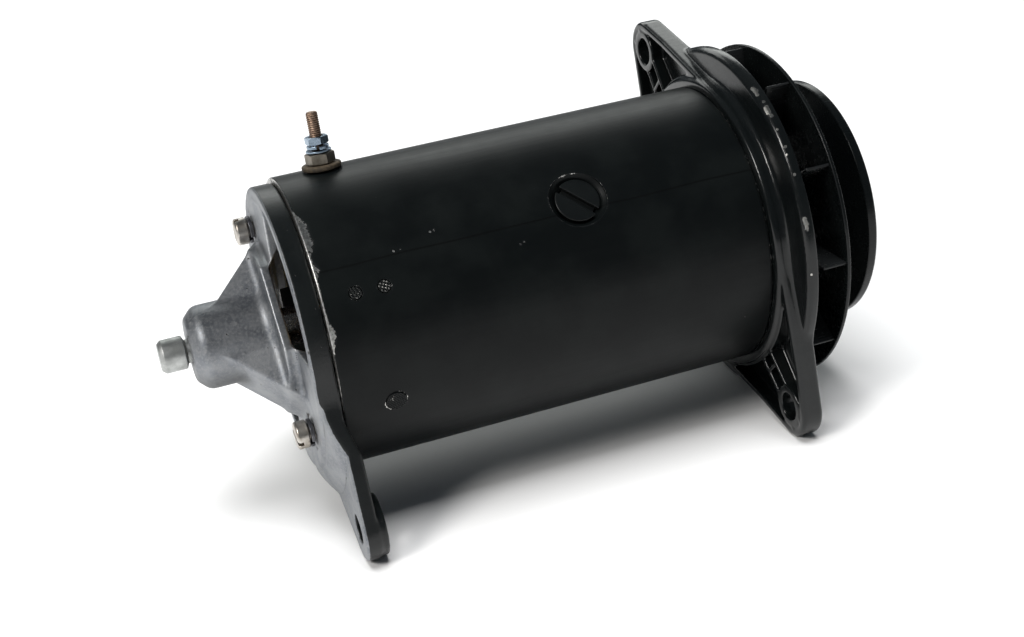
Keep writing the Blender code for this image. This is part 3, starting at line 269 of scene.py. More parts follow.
def capsule_distance(across, along, base_r, tip_r, reach):
    """Signed distance to a disc joined by its tangents to a smaller disc, both on the +along axis."""
    across = np.abs(across)
    lean = (base_r - tip_r) / reach
    side = sqrt(1 - lean * lean)
    place = side * along - lean * across
    flank = across * side + along * lean - base_r
    tip = np.hypot(across, along - reach) - tip_r
    base = np.hypot(across, along) - base_r
    return np.where(place < 0, base, np.where(place > side * reach, tip, flank))


def slopes(field, points, reach):
    found = np.empty_like(points)
    for axis in range(3):
        step = np.zeros(3)
        step[axis] = reach
        found[:, axis] = (field(*(points + step).T) - field(*(points - step).T)) / (2 * reach)
    return found


def net(field, low, high, step):
    """Mesh the zero level of a distance field, with its vertices settled on it and normals from it."""
    axes = [np.arange(low[k] - 1.3 * step, high[k] + 2.3 * step, step, dtype=np.float32) for k in range(3)]
    x, y, z = np.meshgrid(*axes, indexing="ij", sparse=True)
    values = np.asarray(field(x, y, z), np.float32)
    inside = values < 0
    size = values.shape
    count = np.zeros([n - 1 for n in size], np.int8)
    for corner in product((0, 1), repeat=3):
        count += inside[tuple(slice(c, n - 1 + c) for c, n in zip(corner, size))]
    cells = np.nonzero((count > 0) & (count < 8))
    number = np.full(count.shape, -1, np.int64)
    number[cells] = np.arange(len(cells[0]))

    total, hits = np.zeros((len(cells[0]), 3)), np.zeros(len(cells[0]))
    faces = []
    for axis in range(3):
        first, second = [k for k in range(3) if k != axis]
        for p, q in product((0, 1), repeat=2):
            start = [c.copy() for c in cells]
            start[first] += p
            start[second] += q
            end = [c.copy() for c in start]
            end[axis] += 1
            a, b = values[tuple(start)], values[tuple(end)]
            crossing = (a < 0) != (b < 0)
            place = np.stack(start, axis=1).astype(float)
            place[:, axis] += np.where(crossing, a / np.where(crossing, a - b, 1), 0)
            total += place * crossing[:, None]
            hits += crossing
        here = [slice(None)] * 3
        there = [slice(None)] * 3
        here[axis], there[axis] = slice(0, -1), slice(1, None)
        edges = list(np.nonzero(inside[tuple(here)] != inside[tuple(there)]))
        corners = []
        for p, q in ((-1, -1), (0, -1), (0, 0), (-1, 0)):
            cell = list(edges)
            cell[first] = edges[first] + p
            cell[second] = edges[second] + q
            corners.append(number[tuple(cell)])
        faces.append(np.stack(corners, axis=1))
    points = np.array([a[0] for a in axes]) + step * total / hits[:, None]
    for _ in range(3):
        slope = slopes(field, points, 0.2 * step)
        shift = -field(*points.T)[:, None] * slope / np.maximum((slope ** 2).sum(1), 0.05)[:, None]
        length = np.linalg.norm(shift, axis=1)[:, None]
        points += shift * np.minimum(1, 0.4 * step / np.maximum(length, 1e-9))
    slope = slopes(field, points, 0.35 * step)
    normals = slope / np.maximum(np.linalg.norm(slope, axis=1), 1e-9)[:, None]

    quads = np.vstack(faces)
    p0, p1, p2, p3 = (points[quads[:, k]] for k in range(4))
    backwards = (np.cross(p2 - p0, p3 - p1) * normals[quads[:, 0]]).sum(1) < 0
    quads[backwards] = quads[backwards][:, ::-1]
    return points, [tuple(q) for q in quads.tolist()], normals


def bend_of(field, points, reach):
    """How sharply the surface bends: positive on outer edges and negative in hollows, times the reach."""
    found = -6 * field(*points.T)
    for axis in range(3):
        step = np.zeros(3)
        step[axis] = reach
        found = found + field(*(points + step).T) + field(*(points - step).T)
    return found / reach


# ---------------------------------------------------------------- finished pieces

def row_points(points):
    turn = np.array(MACHINE.to_3x3())
    return points @ turn.T + np.array(MACHINE.translation)


def row_normals(normals):
    turn = np.array(MACHINE.to_3x3()) / MM
    return normals @ turn.T


def bend_of_mesh(mesh):
    """For each vertex the sharpest convex and concave bend of its edges, from 0 to 1."""
    work = bmesh.new()
    work.from_mesh(mesh)
    convex, concave = np.zeros(len(mesh.vertices)), np.zeros(len(mesh.vertices))
    for edge in work.edges:
        if len(edge.link_faces) == 2:
            bend = edge.calc_face_angle_signed()
            for vert in edge.verts:
                convex[vert.index] = max(convex[vert.index], bend)
                concave[vert.index] = max(concave[vert.index], -bend)
    work.free()
    return np.clip((convex - 0.1) / 0.25, 0, 1), np.clip((concave - 0.1) / 0.25, 0, 1)


def store(mesh, name, values):
    mesh.attributes.new(name, "FLOAT", "POINT").data.foreach_set("value", np.asarray(values, np.float32))


def finish_piece(node, solid, look, wear=None, hollow=None, bare=None, extra_wear=None):
    """Make a finished piece that stands for a CAD node and rides on that node's body."""
    points, faces, normals = solid
    mesh = bpy.data.meshes.new(node + "_finished")
    mesh.from_pydata(row_points(points).tolist(), [], faces)
    if normals is None:
        work = bmesh.new()
        work.from_mesh(mesh)
        bmesh.ops.remove_doubles(work, verts=work.verts, dist=1e-7)
        bmesh.ops.recalc_face_normals(work, faces=work.faces)
        work.to_mesh(mesh)
        work.free()
    mesh.update()
    if wear is None:
        wear, hollow = bend_of_mesh(mesh)
    if extra_wear is not None:
        co = np.array([v.co for v in mesh.vertices], float)
        back = np.array(MACHINE.inverted())
        wear = np.clip(wear + extra_wear(*(co @ back[:3, :3].T + back[:3, 3]).T), 0, 1.5)
    store(mesh, "wear", wear)
    store(mesh, "hollow", np.zeros(len(mesh.vertices)) if hollow is None else hollow)
    store(mesh, "bare", np.zeros(len(mesh.vertices)) if bare is None else bare)
    mesh.shade_smooth()
    if normals is None:
        mesh.set_sharp_from_angle(angle=radians(38))
    else:
        mesh.normals_split_custom_set_from_vertices(row_normals(normals).tolist())
    mesh.materials.append(look)
    obj = bpy.data.objects.new(node + "_finished", mesh)
    bpy.context.scene.collection.objects.link(obj)
    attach(obj, frame["nodes"][node]["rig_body"])
    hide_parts(node)
    return obj


def finish_field(node, field, low, high, step, look, place=None, bare=None, reach=0.5):
    """A finished piece from a distance field, drawn in the machine's frame or in the given one."""
    solid = net(field, low, high, step)
    bend = bend_of(field, solid[0], reach)
    if place is not None:
        solid = moved(solid, place)
    wear, hollow = np.clip(1.1 * bend - 0.15, 0, 1), np.clip(-1.3 * bend - 0.1, 0, 1)
    finished = None if bare is None else bare(solid[0], solid[2])
    return finish_piece(node, solid, look, wear=wear, hollow=hollow, bare=finished)


# ---------------------------------------------------------------- materials

class Look:
    """A Principled material with helpers for its pattern nodes. Patterns are placed in millimetres."""

    def __init__(self, name, **settings):
        self.material = bpy.data.materials.new(name)
        self.material.use_nodes = True
        self.tree = self.material.node_tree
        self.shader = self.tree.nodes["Principled BSDF"]
        for socket, value in settings.items():
            self.shader.inputs[socket.replace("_", " ")].default_value = value
        place = self.tree.nodes.new("ShaderNodeTexCoord")
        scale = self.tree.nodes.new("ShaderNodeVectorMath")
        scale.operation = "SCALE"
        scale.inputs["Scale"].default_value = 1 / MM
        self.tree.links.new(place.outputs["Object"], scale.inputs[0])
        self.position = scale.outputs[0]

    def put(self, socket, value):
        if isinstance(value, bpy.types.NodeSocket):
            self.tree.links.new(value, socket)
        else:
            socket.default_value = value

    def set(self, socket, value):
        self.put(self.shader.inputs[socket], value)

    def attribute(self, name):
        node = self.tree.nodes.new("ShaderNodeAttribute")
        node.attribute_name = name
        return node.outputs["Fac"]

    def maths(self, operation, a, b=0.0, clamp=False):
        node = self.tree.nodes.new("ShaderNodeMath")
        node.operation = operation
        node.use_clamp = clamp
        self.put(node.inputs[0], a)
        self.put(node.inputs[1], b)
        return node.outputs[0]

    def plus(self, a, b):
        return self.maths("ADD", a, b)

    def times(self, a, b):
        return self.maths("MULTIPLY", a, b)

    def swing(self, value, amount):
        """A pattern's swing about its middle, to the given amount."""
        return self.times(self.maths("SUBTRACT", value, 0.5), amount)

    def vector(self, operation, a, b):
        node = self.tree.nodes.new("ShaderNodeVectorMath")
        node.operation = operation
        self.put(node.inputs[0], a)
        self.put(node.inputs[1], b)
        return node.outputs["Value"] if operation in ("DOT_PRODUCT", "DISTANCE") else node.outputs[0]

    def noise(self, scale, detail=3.0, roughness=0.55, stretch=(1, 1, 1), distortion=0.0):
        node = self.tree.nodes.new("ShaderNodeTexNoise")
        self.put(node.inputs["Vector"], self.vector("MULTIPLY", self.position, stretch))
        node.inputs["Scale"].default_value = scale
        node.inputs["Detail"].default_value = detail
        node.inputs["Roughness"].default_value = roughness
        node.inputs["Distortion"].default_value = distortion
        return node.outputs["Fac"]

    def level(self, value, low, high, low_out=0.0, high_out=1.0):
        node = self.tree.nodes.new("ShaderNodeMapRange")
        node.interpolation_type = "SMOOTHSTEP"
        self.put(node.inputs["Value"], value)
        node.inputs["From Min"].default_value = low
        node.inputs["From Max"].default_value = high
        node.inputs["To Min"].default_value = low_out
        node.inputs["To Max"].default_value = high_out
        return node.outputs["Result"]

    def mix(self, share, a, b):
        node = self.tree.nodes.new("ShaderNodeMix")
        colours = not (isinstance(a, float) or isinstance(b, float))
        node.data_type = "RGBA" if colours else "FLOAT"
        first, second, out = (6, 7, 2) if colours else (2, 3, 0)
        self.put(node.inputs[0], share)
        self.put(node.inputs[first], (*a, 1) if isinstance(a, tuple) else a)
        self.put(node.inputs[second], (*b, 1) if isinstance(b, tuple) else b)
        return node.outputs[out]

    def bump(self, height, distance, strength=1.0, under=None):
        node = self.tree.nodes.new("ShaderNodeBump")
        node.inputs["Strength"].default_value = strength
        node.inputs["Distance"].default_value = distance * MM
        self.put(node.inputs["Height"], height)
        if under is not None:
            self.put(node.inputs["Normal"], under)
        return node.outputs["Normal"]

    def spot(self, x, angle, radius, reach):
        """1 near a point on a surface at that radius, fading to 0 at the reach."""
        centre = MACHINE @ Vector((x, -radius * cos(angle), radius * sin(angle))) / MM
        return self.level(self.vector("DISTANCE", self.position, tuple(centre)), 0.3 * reach, reach, 1.0, 0.0)


PAINTED_METAL = (0.50, 0.49, 0.46)


def add_paint(look, gloss, loss, chips=(), metal=PAINTED_METAL, seam=False, tearing=0.9):
    """Black paint with a faint orange peel, lightened along its edges by rubbing and a painted edge
    highlight, worn through to the metal on edges and at a few chips.
    """
    cloud = look.noise(0.05, 3)
    paint = look.mix(look.level(cloud, 0.35, 0.7), (0.0026, 0.0034, 0.0036), (0.0048, 0.0060, 0.0060))
    patch = look.noise(0.10, 2)
    tear = look.noise(tearing, 5, 0.65)
    wear = look.attribute("wear")
    for chip in chips:
        wear = look.plus(wear, look.times(look.spot(*chip), 1.2 * loss))
    exposed = look.plus(look.times(wear, 0.9),
                         look.plus(look.swing(tear, 1.9),
                                    look.swing(patch, 0.9)))
    bald = look.level(exposed, loss, loss + 0.05)
    speck = look.level(look.noise(1.1, 2, 0.6), 0.80, 0.83)
    bald = look.maths("MAXIMUM", bald, look.times(speck, look.level(patch, 0.5, 0.62)))
    # Paint made lighter along worn edges: partly rubbed paint, partly a painted edge highlight.
    rubbed_sheen = look.level(look.plus(wear, look.times(tear, 0.4)), 0.8, 1.3, 0.0, 0.5)
    paint = look.mix(rubbed_sheen, paint, (0.018, 0.019, 0.020))
    bare = look.mix(look.level(look.noise(0.8, 4), 0.35, 0.65), tuple(0.55 * c for c in metal), metal)
    streak = look.noise(0.5, 3, 0.6, stretch=(0.04, 1, 1))
    satin = look.plus(gloss, look.swing(streak, 0.16))
    smear = look.noise(0.16, 3)
    satin = look.plus(satin, look.swing(smear, 0.10))
    peel = look.bump(look.noise(0.55, 2), 0.020)
    peel = look.bump(streak, 0.030, under=peel)
    if seam:
        line = seam_line(look)
        peel = look.bump(line, 0.03, under=peel)
        paint = look.mix(look.times(line, 0.6), paint, (0.0015, 0.0015, 0.0015))
    height = look.maths("SUBTRACT", 1.0, bald)
    return paint, bare, satin, bald, look.bump(height, 0.09, under=peel)


def seam_line(look):
    """The rolled tube's butt joint: a shallow line along the body that wanders slightly."""
    angle = radians(-4.6)
    origin = MACHINE @ Vector((0, 0, 0)) / MM
    turn = MACHINE.to_3x3() * (1 / MM)
    tangent = turn @ Vector((0, sin(angle), cos(angle)))
    outward = turn @ Vector((0, -cos(angle), sin(angle)))
    beside = look.vector("DOT_PRODUCT", look.vector("SUBTRACT", look.position, tuple(origin)), tuple(tangent))
    front = look.vector("DOT_PRODUCT", look.vector("SUBTRACT", look.position, tuple(origin)), tuple(outward))
    wander = look.swing(look.noise(0.02, 2), 2.4)
    away = look.maths("ABSOLUTE", look.plus(beside, wander))
    line = look.level(away, 0.10, 0.55, 1.0, 0.0)
    return look.times(line, look.level(front, 40, 50))


def painted_look(name, gloss, loss, specular, coat, chips=(), seam=False, tearing=0.9, metal=PAINTED_METAL):
    look = Look(name, Specular_IOR_Level=specular, Coat_Weight=coat, Coat_Roughness=0.16)
    paint, bare, satin, bald, normal = add_paint(look, gloss, loss, chips, metal, seam, tearing)
    look.set("Base Color", look.mix(bald, paint, bare))
    look.set("Metallic", bald)
    look.set("Roughness", look.mix(bald, satin, 0.38))
    look.set("Normal", normal)
    return look.material


def casting_look(name):
    """Bare aluminium casting with sprayed sides, grime in its hollows, painted shade on the hub's underside
    and bright worn edges.
    """
    look = Look(name, Specular_IOR_Level=0.4)
    paint, _, satin, bald, _ = add_paint(look, 0.34, 1.02, metal=(0.66, 0.67, 0.68))
    grain = look.noise(0.9, 5, 0.65)
    cloud = look.noise(0.09, 4)
    metal = look.mix(look.level(cloud, 0.3, 0.7), (0.185, 0.198, 0.22), (0.31, 0.32, 0.335))
    metal = look.mix(look.level(grain, 0.40, 0.75), metal, (0.36, 0.365, 0.37))
    hollow = look.plus(look.attribute("hollow"), look.swing(cloud, 1.2))
    dirt = look.level(hollow, 0.18, 0.80, 0.0, 0.88)
    metal = look.mix(dirt, metal, (0.048, 0.043, 0.036))
    # Painted shade: the hub's surface below the shaft's height is darkened towards dark grey, as if in its
    # own shadow.
    about = look.vector("DISTANCE", look.vector("MULTIPLY", look.position, (0, 1, 1)), (0, 0, AXIS_HEIGHT))
    below = look.vector("DOT_PRODUCT", look.position, (0, 0, 1))
    underside = look.level(below, AXIS_HEIGHT - 15, AXIS_HEIGHT, 0.72, 0.0)
    hub_underside_shade = look.times(look.level(about, 15, 20, 1.0, 0.0), underside)
    metal = look.mix(hub_underside_shade, metal, (0.070, 0.070, 0.066))
    pits = look.level(look.noise(0.55, 2, 0.4), 0.74, 0.79)
    metal = look.mix(look.times(pits, 0.8), metal, (0.05, 0.045, 0.04))
    polished = look.level(look.plus(look.attribute("wear"), look.times(grain, 0.5)), 0.85, 1.35)
    metal = look.mix(polished, metal, (0.60, 0.605, 0.61))
    normal = look.bump(grain, 0.10, 0.8)
    normal = look.bump(look.maths("SUBTRACT", 1.0, pits), 0.15, under=normal)
    edge = look.plus(look.attribute("bare"), look.swing(look.noise(0.7, 4), 0.35))
    open_metal = look.maths("MAXIMUM", look.level(edge, 0.46, 0.54), bald)
    look.set("Base Color", look.mix(open_metal, paint, metal))
    look.set("Metallic", open_metal)
    rough = look.mix(polished, look.level(grain, 0.3, 0.8, 0.48, 0.64), 0.42)
    look.set("Roughness", look.mix(open_metal, satin, rough))
    height = look.mix(open_metal, 1.0, 0.0)
    look.set("Normal", look.bump(height, 0.08, under=normal))
    return look.material


def metal_look(name, clean, dull, stain, roughness, stain_share=0.5, grain=(1, 1, 1), polish=0.6):
    """A bare metal: two tones, stains that gather in hollows, fine machining marks and bright edges."""
    look = Look(name)
    cloud = look.noise(0.25, 4)
    fine = look.noise(2.2, 4, 0.6, stretch=grain)
    colour = look.mix(look.level(cloud, 0.35, 0.65), clean, dull)
    hollow = look.plus(look.attribute("hollow"), look.times(cloud, 0.9))
    dirt = look.level(hollow, 1.0 - stain_share, 1.35 - stain_share, 0.0, 0.85)
    colour = look.mix(dirt, colour, stain)
    bright = look.level(look.plus(look.attribute("wear"), look.times(fine, 0.5)), 0.7, 1.2, 0.0, polish)
    colour = look.mix(bright, colour, tuple(min(1.0, 1.35 * c) for c in clean))
    look.set("Base Color", colour)
    look.set("Metallic", look.mix(dirt, 1.0, 0.55))
    rough = look.plus(roughness, look.swing(fine, 0.22))
    look.set("Roughness", look.mix(dirt, rough, 0.62))
    look.set("Normal", look.bump(fine, 0.03, 0.7, under=look.bump(cloud, 0.05)))
    return look.material


def solid_look(name, colour, shade, roughness, scale, relief, stretch=(1, 1, 1), metallic=0.0, detail=4.0):
    """A two-tone material with a grain: fibre, felt, tape, varnished wire, carbon or laminations."""
    look = Look(name, Metallic=metallic)
    grain = look.noise(scale, detail, 0.6, stretch)
    cloud = look.noise(0.15, 3)
    look.set("Base Color", look.mix(look.level(look.plus(grain, look.times(cloud, 0.5)), 0.55, 0.95),
                                    shade, colour))
    look.set("Roughness", look.level(grain, 0.3, 0.8, roughness - 0.08, roughness + 0.08))
    look.set("Normal", look.bump(grain, relief))
    return look.material


DE_RIM_CHIPS = tuple((x, radians(turn), r, reach) for x, turn, r, reach in (
    (180.9, 19, 71.4, 1.6), (181.3, 17.6, 71.8, 2.1), (181.0, 16, 71.6, 1.4), (181.6, 12.6, 72, 1.3),
    (181.4, 10.4, 71.8, 1.9), (181.2, 8.8, 71.6, 2.2), (181.6, 7.0, 72, 1.6), (181.4, 2, 71.8, 1.0),
    (181.6, -4, 72, 1.2), (181.2, -6.5, 71.6, 1.0), (181.5, -13, 72, 1.1), (181.2, -26.6, 71.6, 1.7),
    (181.4, -28.2, 71.8, 2.0), (181.3, -29.8, 71.8, 1.5), (176.5, -52, 62, 1.5), (181.3, -44, 71.8, 1.0),
    (180.5, -79, 75, 1.5), (182.5, -78, 70, 1.7), (183, -81, 83, 1.3)))
YOKE_MARKS = tuple((x, radians(turn), YOKE_R, reach) for x, turn, reach in (
    (45, 0.6, 1.0), (46.6, 0.9, 0.9), (76, -12, 1.1), (77.5, -11.2, 0.9), (30, -3.4, 1.0), (32.6, -3.2, 0.8)))
YOKE_PAINT = painted_look("yoke_paint", 0.40, 1.0, 0.14, 0.0, chips=YOKE_MARKS, seam=True, tearing=0.55,
                          metal=(0.68, 0.67, 0.64))
SCREW_PAINT = painted_look("screw_paint", 0.40, 1.15, 0.35, 0.0)
RIVET_PAINT = painted_look("rivet_paint", 0.34, 0.66, 0.3, 0.0)
BRACKET_PAINT = painted_look("bracket_paint", 0.21, 1.36, 0.34, 0.12, chips=DE_RIM_CHIPS)
ROTOR_PAINT = painted_look("rotor_paint", 0.26, 1.26, 0.22, 0.05)
CASTING = casting_look("cast_aluminium_bare")
STEEL = metal_look("steel_worn", (0.56, 0.53, 0.49), (0.40, 0.36, 0.31), (0.13, 0.075, 0.04), 0.36, 0.42)
CAP_STEEL = metal_look("steel_cap", (0.54, 0.55, 0.54), (0.38, 0.39, 0.38), (0.10, 0.085, 0.07), 0.52, 0.32)
CLEAN_STEEL = metal_look("steel_clean", (0.56, 0.56, 0.55), (0.42, 0.42, 0.42),
                         (0.12, 0.09, 0.06), 0.28, 0.25)
BLACK_STEEL = metal_look("steel_dark", (0.17, 0.17, 0.18), (0.10, 0.10, 0.11),
                         (0.05, 0.035, 0.025), 0.40, 0.35)
NUT_STEEL = metal_look("steel_nut", (0.25, 0.225, 0.19), (0.145, 0.13, 0.105),
                       (0.05, 0.036, 0.022), 0.40, 0.50)
ZINC = metal_look("zinc_plate_blue", (0.33, 0.41, 0.50), (0.25, 0.32, 0.39), (0.07, 0.062, 0.055), 0.30, 0.30)
STUD = metal_look("stud_brass", (0.40, 0.285, 0.215), (0.24, 0.135, 0.08), (0.05, 0.03, 0.017), 0.42, 0.58)
COPPER = metal_look("copper_bars", (0.60, 0.30, 0.18), (0.38, 0.18, 0.10),
                    (0.05, 0.03, 0.02), 0.34, 0.45, grain=(0.1, 1, 1))
BRONZE = metal_look("bronze_bush", (0.50, 0.33, 0.15), (0.36, 0.23, 0.10), (0.07, 0.05, 0.02), 0.46, 0.35)
BRASS = metal_look("brass_holder", (0.58, 0.43, 0.19), (0.40, 0.29, 0.12), (0.08, 0.06, 0.03), 0.36, 0.40)
FIBRE = solid_look("vulcanised_fibre", (0.075, 0.057, 0.036), (0.030, 0.023, 0.016), 0.78, 0.8, 0.12)
LAMINATIONS = solid_look("lamination_edges", (0.20, 0.20, 0.21), (0.06, 0.055, 0.05), 0.46, 1.6, 0.06,
                         (1.6, 0.05, 0.05), 1.0)
WINDING = solid_look("varnished_wire", (0.24, 0.075, 0.03), (0.07, 0.02, 0.01), 0.36, 1.1, 0.30, (0.25, 1, 1))
TAPE = solid_look("cotton_tape", (0.30, 0.24, 0.15), (0.13, 0.095, 0.055), 0.82, 1.4, 0.20, (1, 0.35, 0.35))
CARBON = solid_look("carbon_block", (0.035, 0.035, 0.038), (0.015, 0.015, 0.016), 0.52, 2.0, 0.04)
FELT = solid_look("oiled_felt", (0.22, 0.18, 0.11), (0.09, 0.07, 0.045), 0.92, 2.4, 0.25)


# ---------------------------------------------------------------- yoke

# Widths of the broken paint along the yoke's commutator end, by angle in degrees
YOKE_EDGE_CHIPS = ((-36, 0.1), (-32, 1.4), (-29, 2.6), (-26, 2.4), (-22, 0.8), (-18, 0.7), (-12, 0.8),
                   (-7, 1.0), (-4, 3.0), (-2, 2.2), (1, 0.9), (4, 2.4), (7, 3.4), (11, 3.2), (15, 3.6),
                   (18, 2.6), (21, 1.2), (24, 0.1))


def yoke_edge_chips(x, y, z):
    """Where paint has broken away along the yoke's commutator end, and how far in."""
    angle = np.degrees(np.arctan2(z, -y))
    turns, widths = zip(*YOKE_EDGE_CHIPS)
    width = np.interp(angle, turns, widths)
    return 1.25 * np.clip(1.7 - x / np.maximum(width, 0.05), -0.5, 1) * (x < 6)


def drill(radius, segments):
    """A rod on the Z axis that reaches through the yoke's wall."""
    return lathe([(48, 0), (48, radius), (60, radius), (60, 0)], segments, "Z")


def make_yoke():
    profile = rounded([(0, YOKE_BORE_R, 0), (0, YOKE_R, 0.5), (YOKE_LENGTH, YOKE_R, 0.5),
                       (YOKE_LENGTH, YOKE_BORE_R, 0)], steps=3, guard=0.4)
    profile = divided([(x, r) for x, r in profile], 2.2)
    fine = [(0.4 * k + 0.9, YOKE_R) for k in range(1, 9)]
    start = max(i for i, (x, r) in enumerate(profile) if r > YOKE_R - 0.01 and x < 1.0)
    profile = profile[:start + 1] + fine + [p for p in profile[start + 1:] if not (p[0] < 4.6 and p[1] > 57)]
    tube = lathe(profile, 240)
    tools = []
    for turn in (0, pi):
        seat = rounded([(46, 0, 0), (46, 6.4, 0), (51.6, 6.4, 0), (55.2, 9.9, 0.3), (56.3, 11.2, 0.3),
                        (60, 11.2, 0), (60, 0, 0)])
        tools.append(moved(lathe(seat, 72, "Z"), station(POLE_X, turn)))
        for x in HOLDER_RIVET_X:
            tools.append(moved(drill(2.6, 32), station(x, BRUSH_ANGLE + turn)))
    tools.append(moved(drill(5, 40), station(TERMINAL_X, TERMINAL_ANGLE)))
    tools.append(moved(drill(4.15, 40), station(EARTH_RIVET_X, EARTH_RIVET_ANGLE)))
    finish_piece("yoke", cut(tube, *tools), YOKE_PAINT, extra_wear=yoke_edge_chips)


def pole_screw_field(x, y, z):
    """Countersunk pole screw with a wide slot; +z is outwards."""
    r = np.hypot(x, y)
    head = smooth_max(0.6, r - 8.6, z - 56.0, 52.2 - z, (r - 5.5 - (z - 52.2) * 1.15) * 0.66)
    shank = smooth_max(0.4, r - 5.5, slab(z, 43, 53))
    body = smooth_min(0.5, head, shank)
    across = x * cos(POLE_SCREW_SLOT_ANGLE + pi / 2) + y * sin(POLE_SCREW_SLOT_ANGLE + pi / 2)
    slot = np.maximum(np.abs(across) - 1.3, 53.8 - z)
    return smooth_max(0.35, body, -slot)


def make_pole_screws():
    for label, turn in (("front", 0), ("rear", pi)):
        finish_field("pole_screw_" + label, pole_screw_field, (-8.7, -8.7, 43), (8.7, 8.7, 56), 0.26,
                     SCREW_PAINT, station(POLE_X, turn), reach=0.3)


# ---------------------------------------------------------------- castings

HUB_R = 16.3
ARM_HALF_WIDTH, ARM_DRAFT, ARM_TIP_Z = 12.1, 0.16, 34.8
WINDOW_INNER_Y, WINDOW_OUTER_R, WINDOW_ANGLE = 22.0, 51.0, radians(40)
HUB_PROFILE = rounded([(-44.6, 0, 0), (-44.6, 12.0, 3.0), (-40.3, HUB_R, 5.0), (-16.0, HUB_R, 4.0),
                       (-12.5, 19.3, 0), (-9.0, 19.3, 0), (-9.0, 0, 0)], steps=5, guard=50)
HUB_HOLLOW = [(-50, 0), (-50, 4.9), (-38.5, 4.9), (-38.5, 12.3), (-14, 12.3), (-9.6, 22), (-9.6, 27),
              (-5, 33), (10, 33), (10, 0)]


def commutator_end_field(x, y, z):
    r = np.hypot(y, z)
    side, up = np.abs(y), np.abs(z)
    rim = smooth_max(1.3, slab(x, RIM_X, -0.3), r - RIM_R)
    spigot = smooth_max(0.6, slab(x, -2, 3.5), slab(r, 47.2, 50.2))
    body = smooth_min(0.6, rim, spigot)
    body = smooth_max(1.5, body, -smooth_max(1.5, -4.35 - x, r - 47.2))

    depth = (ARM_TIP_Z + x - RIM_X - up) * sqrt(0.5)
    flank = (side - ARM_HALF_WIDTH - ARM_DRAFT * np.maximum(depth, 0)) * 0.963
    arms = smooth_max(0.9, -depth, flank, slab(x, -36, -6))
    taper = (side - 23.2 + 0.9 * np.maximum(up - 16, 0)) * 0.8
    plate = smooth_max(1.0, slab(x, -13.1, -5), 0.4 - depth, taper)
    spider = smooth_min(3.4, arms, plate)
    spider = smooth_min(1.5, spider, polygon_distance(HUB_PROFILE, x, r))
    body = smooth_min(3.0, body, spider)

    lug = capsule_distance(y, -z, 50.0, LUG_TIP_R, LUG_REACH)
    slope = (np.interp(r, (58.0, 67.5), (RIM_X, -3.0)) - x) * 0.83
    back = (x - np.interp(r, (60.0, 68.0), (-0.4, 2.9))) * 0.92
    lug = smooth_max(1.6, lug, smooth_max(3.0, slope, RIM_X + 0.2 - x), back)
    boss = smooth_max(1.2, np.hypot(y, z + LUG_REACH) - 11.8, slab(x, 0, 5.8))
    lug = np.maximum(smooth_min(1.2, lug, boss), 51.2 - r)
    body = smooth_min(2.5, body, smooth_max(0.5, lug, np.where(r < 59.5, x + 0.35, -5)))

    window = smooth_max(3.5, WINDOW_INNER_Y - side, r - WINDOW_OUTER_R,
                        up * cos(WINDOW_ANGLE) - side * sin(WINDOW_ANGLE))
    body = smooth_max(0.8, body, -window)
    bolt = np.hypot(y, up - BOLT_CIRCLE_R)
    body = smooth_max(0.8, body, -np.maximum(bolt - 7.0, x - (RIM_X + 0.1)))
    body = smooth_max(0.5, body, 3.4 - bolt)
    body = smooth_max(0.8, body, -polygon_distance(HUB_HOLLOW, x, r))
    return smooth_max(0.9, body, LUG_BORE_R - np.hypot(y, z + LUG_REACH))


def commutator_end_bare(points, normals):
    """1 on bare metal. The rim's side, the lug's flanks and its back were sprayed with the yoke."""
    y, z = points[:, 1], points[:, 2]
    r = np.hypot(y, z)
    ahead = -normals[:, 0]
    outside = (r > 53.9) | ((z < -50) & (np.hypot(y, z + LUG_REACH) > LUG_BORE_R + 1.2))
    sprayed = np.where(outside, np.clip(1.15 - 1.5 * ahead, 0, 1), 0)
    return 1 - sprayed


def make_commutator_end_bracket():
    finish_field("commutator_end_bracket", commutator_end_field, (-44.6, -56, -97), (6, 56, 56), 0.6,
                 CASTING, bare=commutator_end_bare, reach=0.8)


DE_PROFILE = rounded([(168.9, 47.2, 0), (168.9, 50.2, 0.4), (172.9, 50.2, 0), (172.9, 60.5, 1.5),
                      (178.23, 60.5, 2.6), (180.0, DE_RIM_R, 2.6), (184.5, DE_RIM_R, 0.9), (184.5, 28.5, 0),
                      (178.0, 28.5, 0), (178.0, 47.2, 0)], steps=4, guard=50)
DE_HUB = [(169.2, 20.3), (169.2, 29.5), (184.2, 29.5), (184.2, 15), (181.3, 15), (181.3, 20.3)]


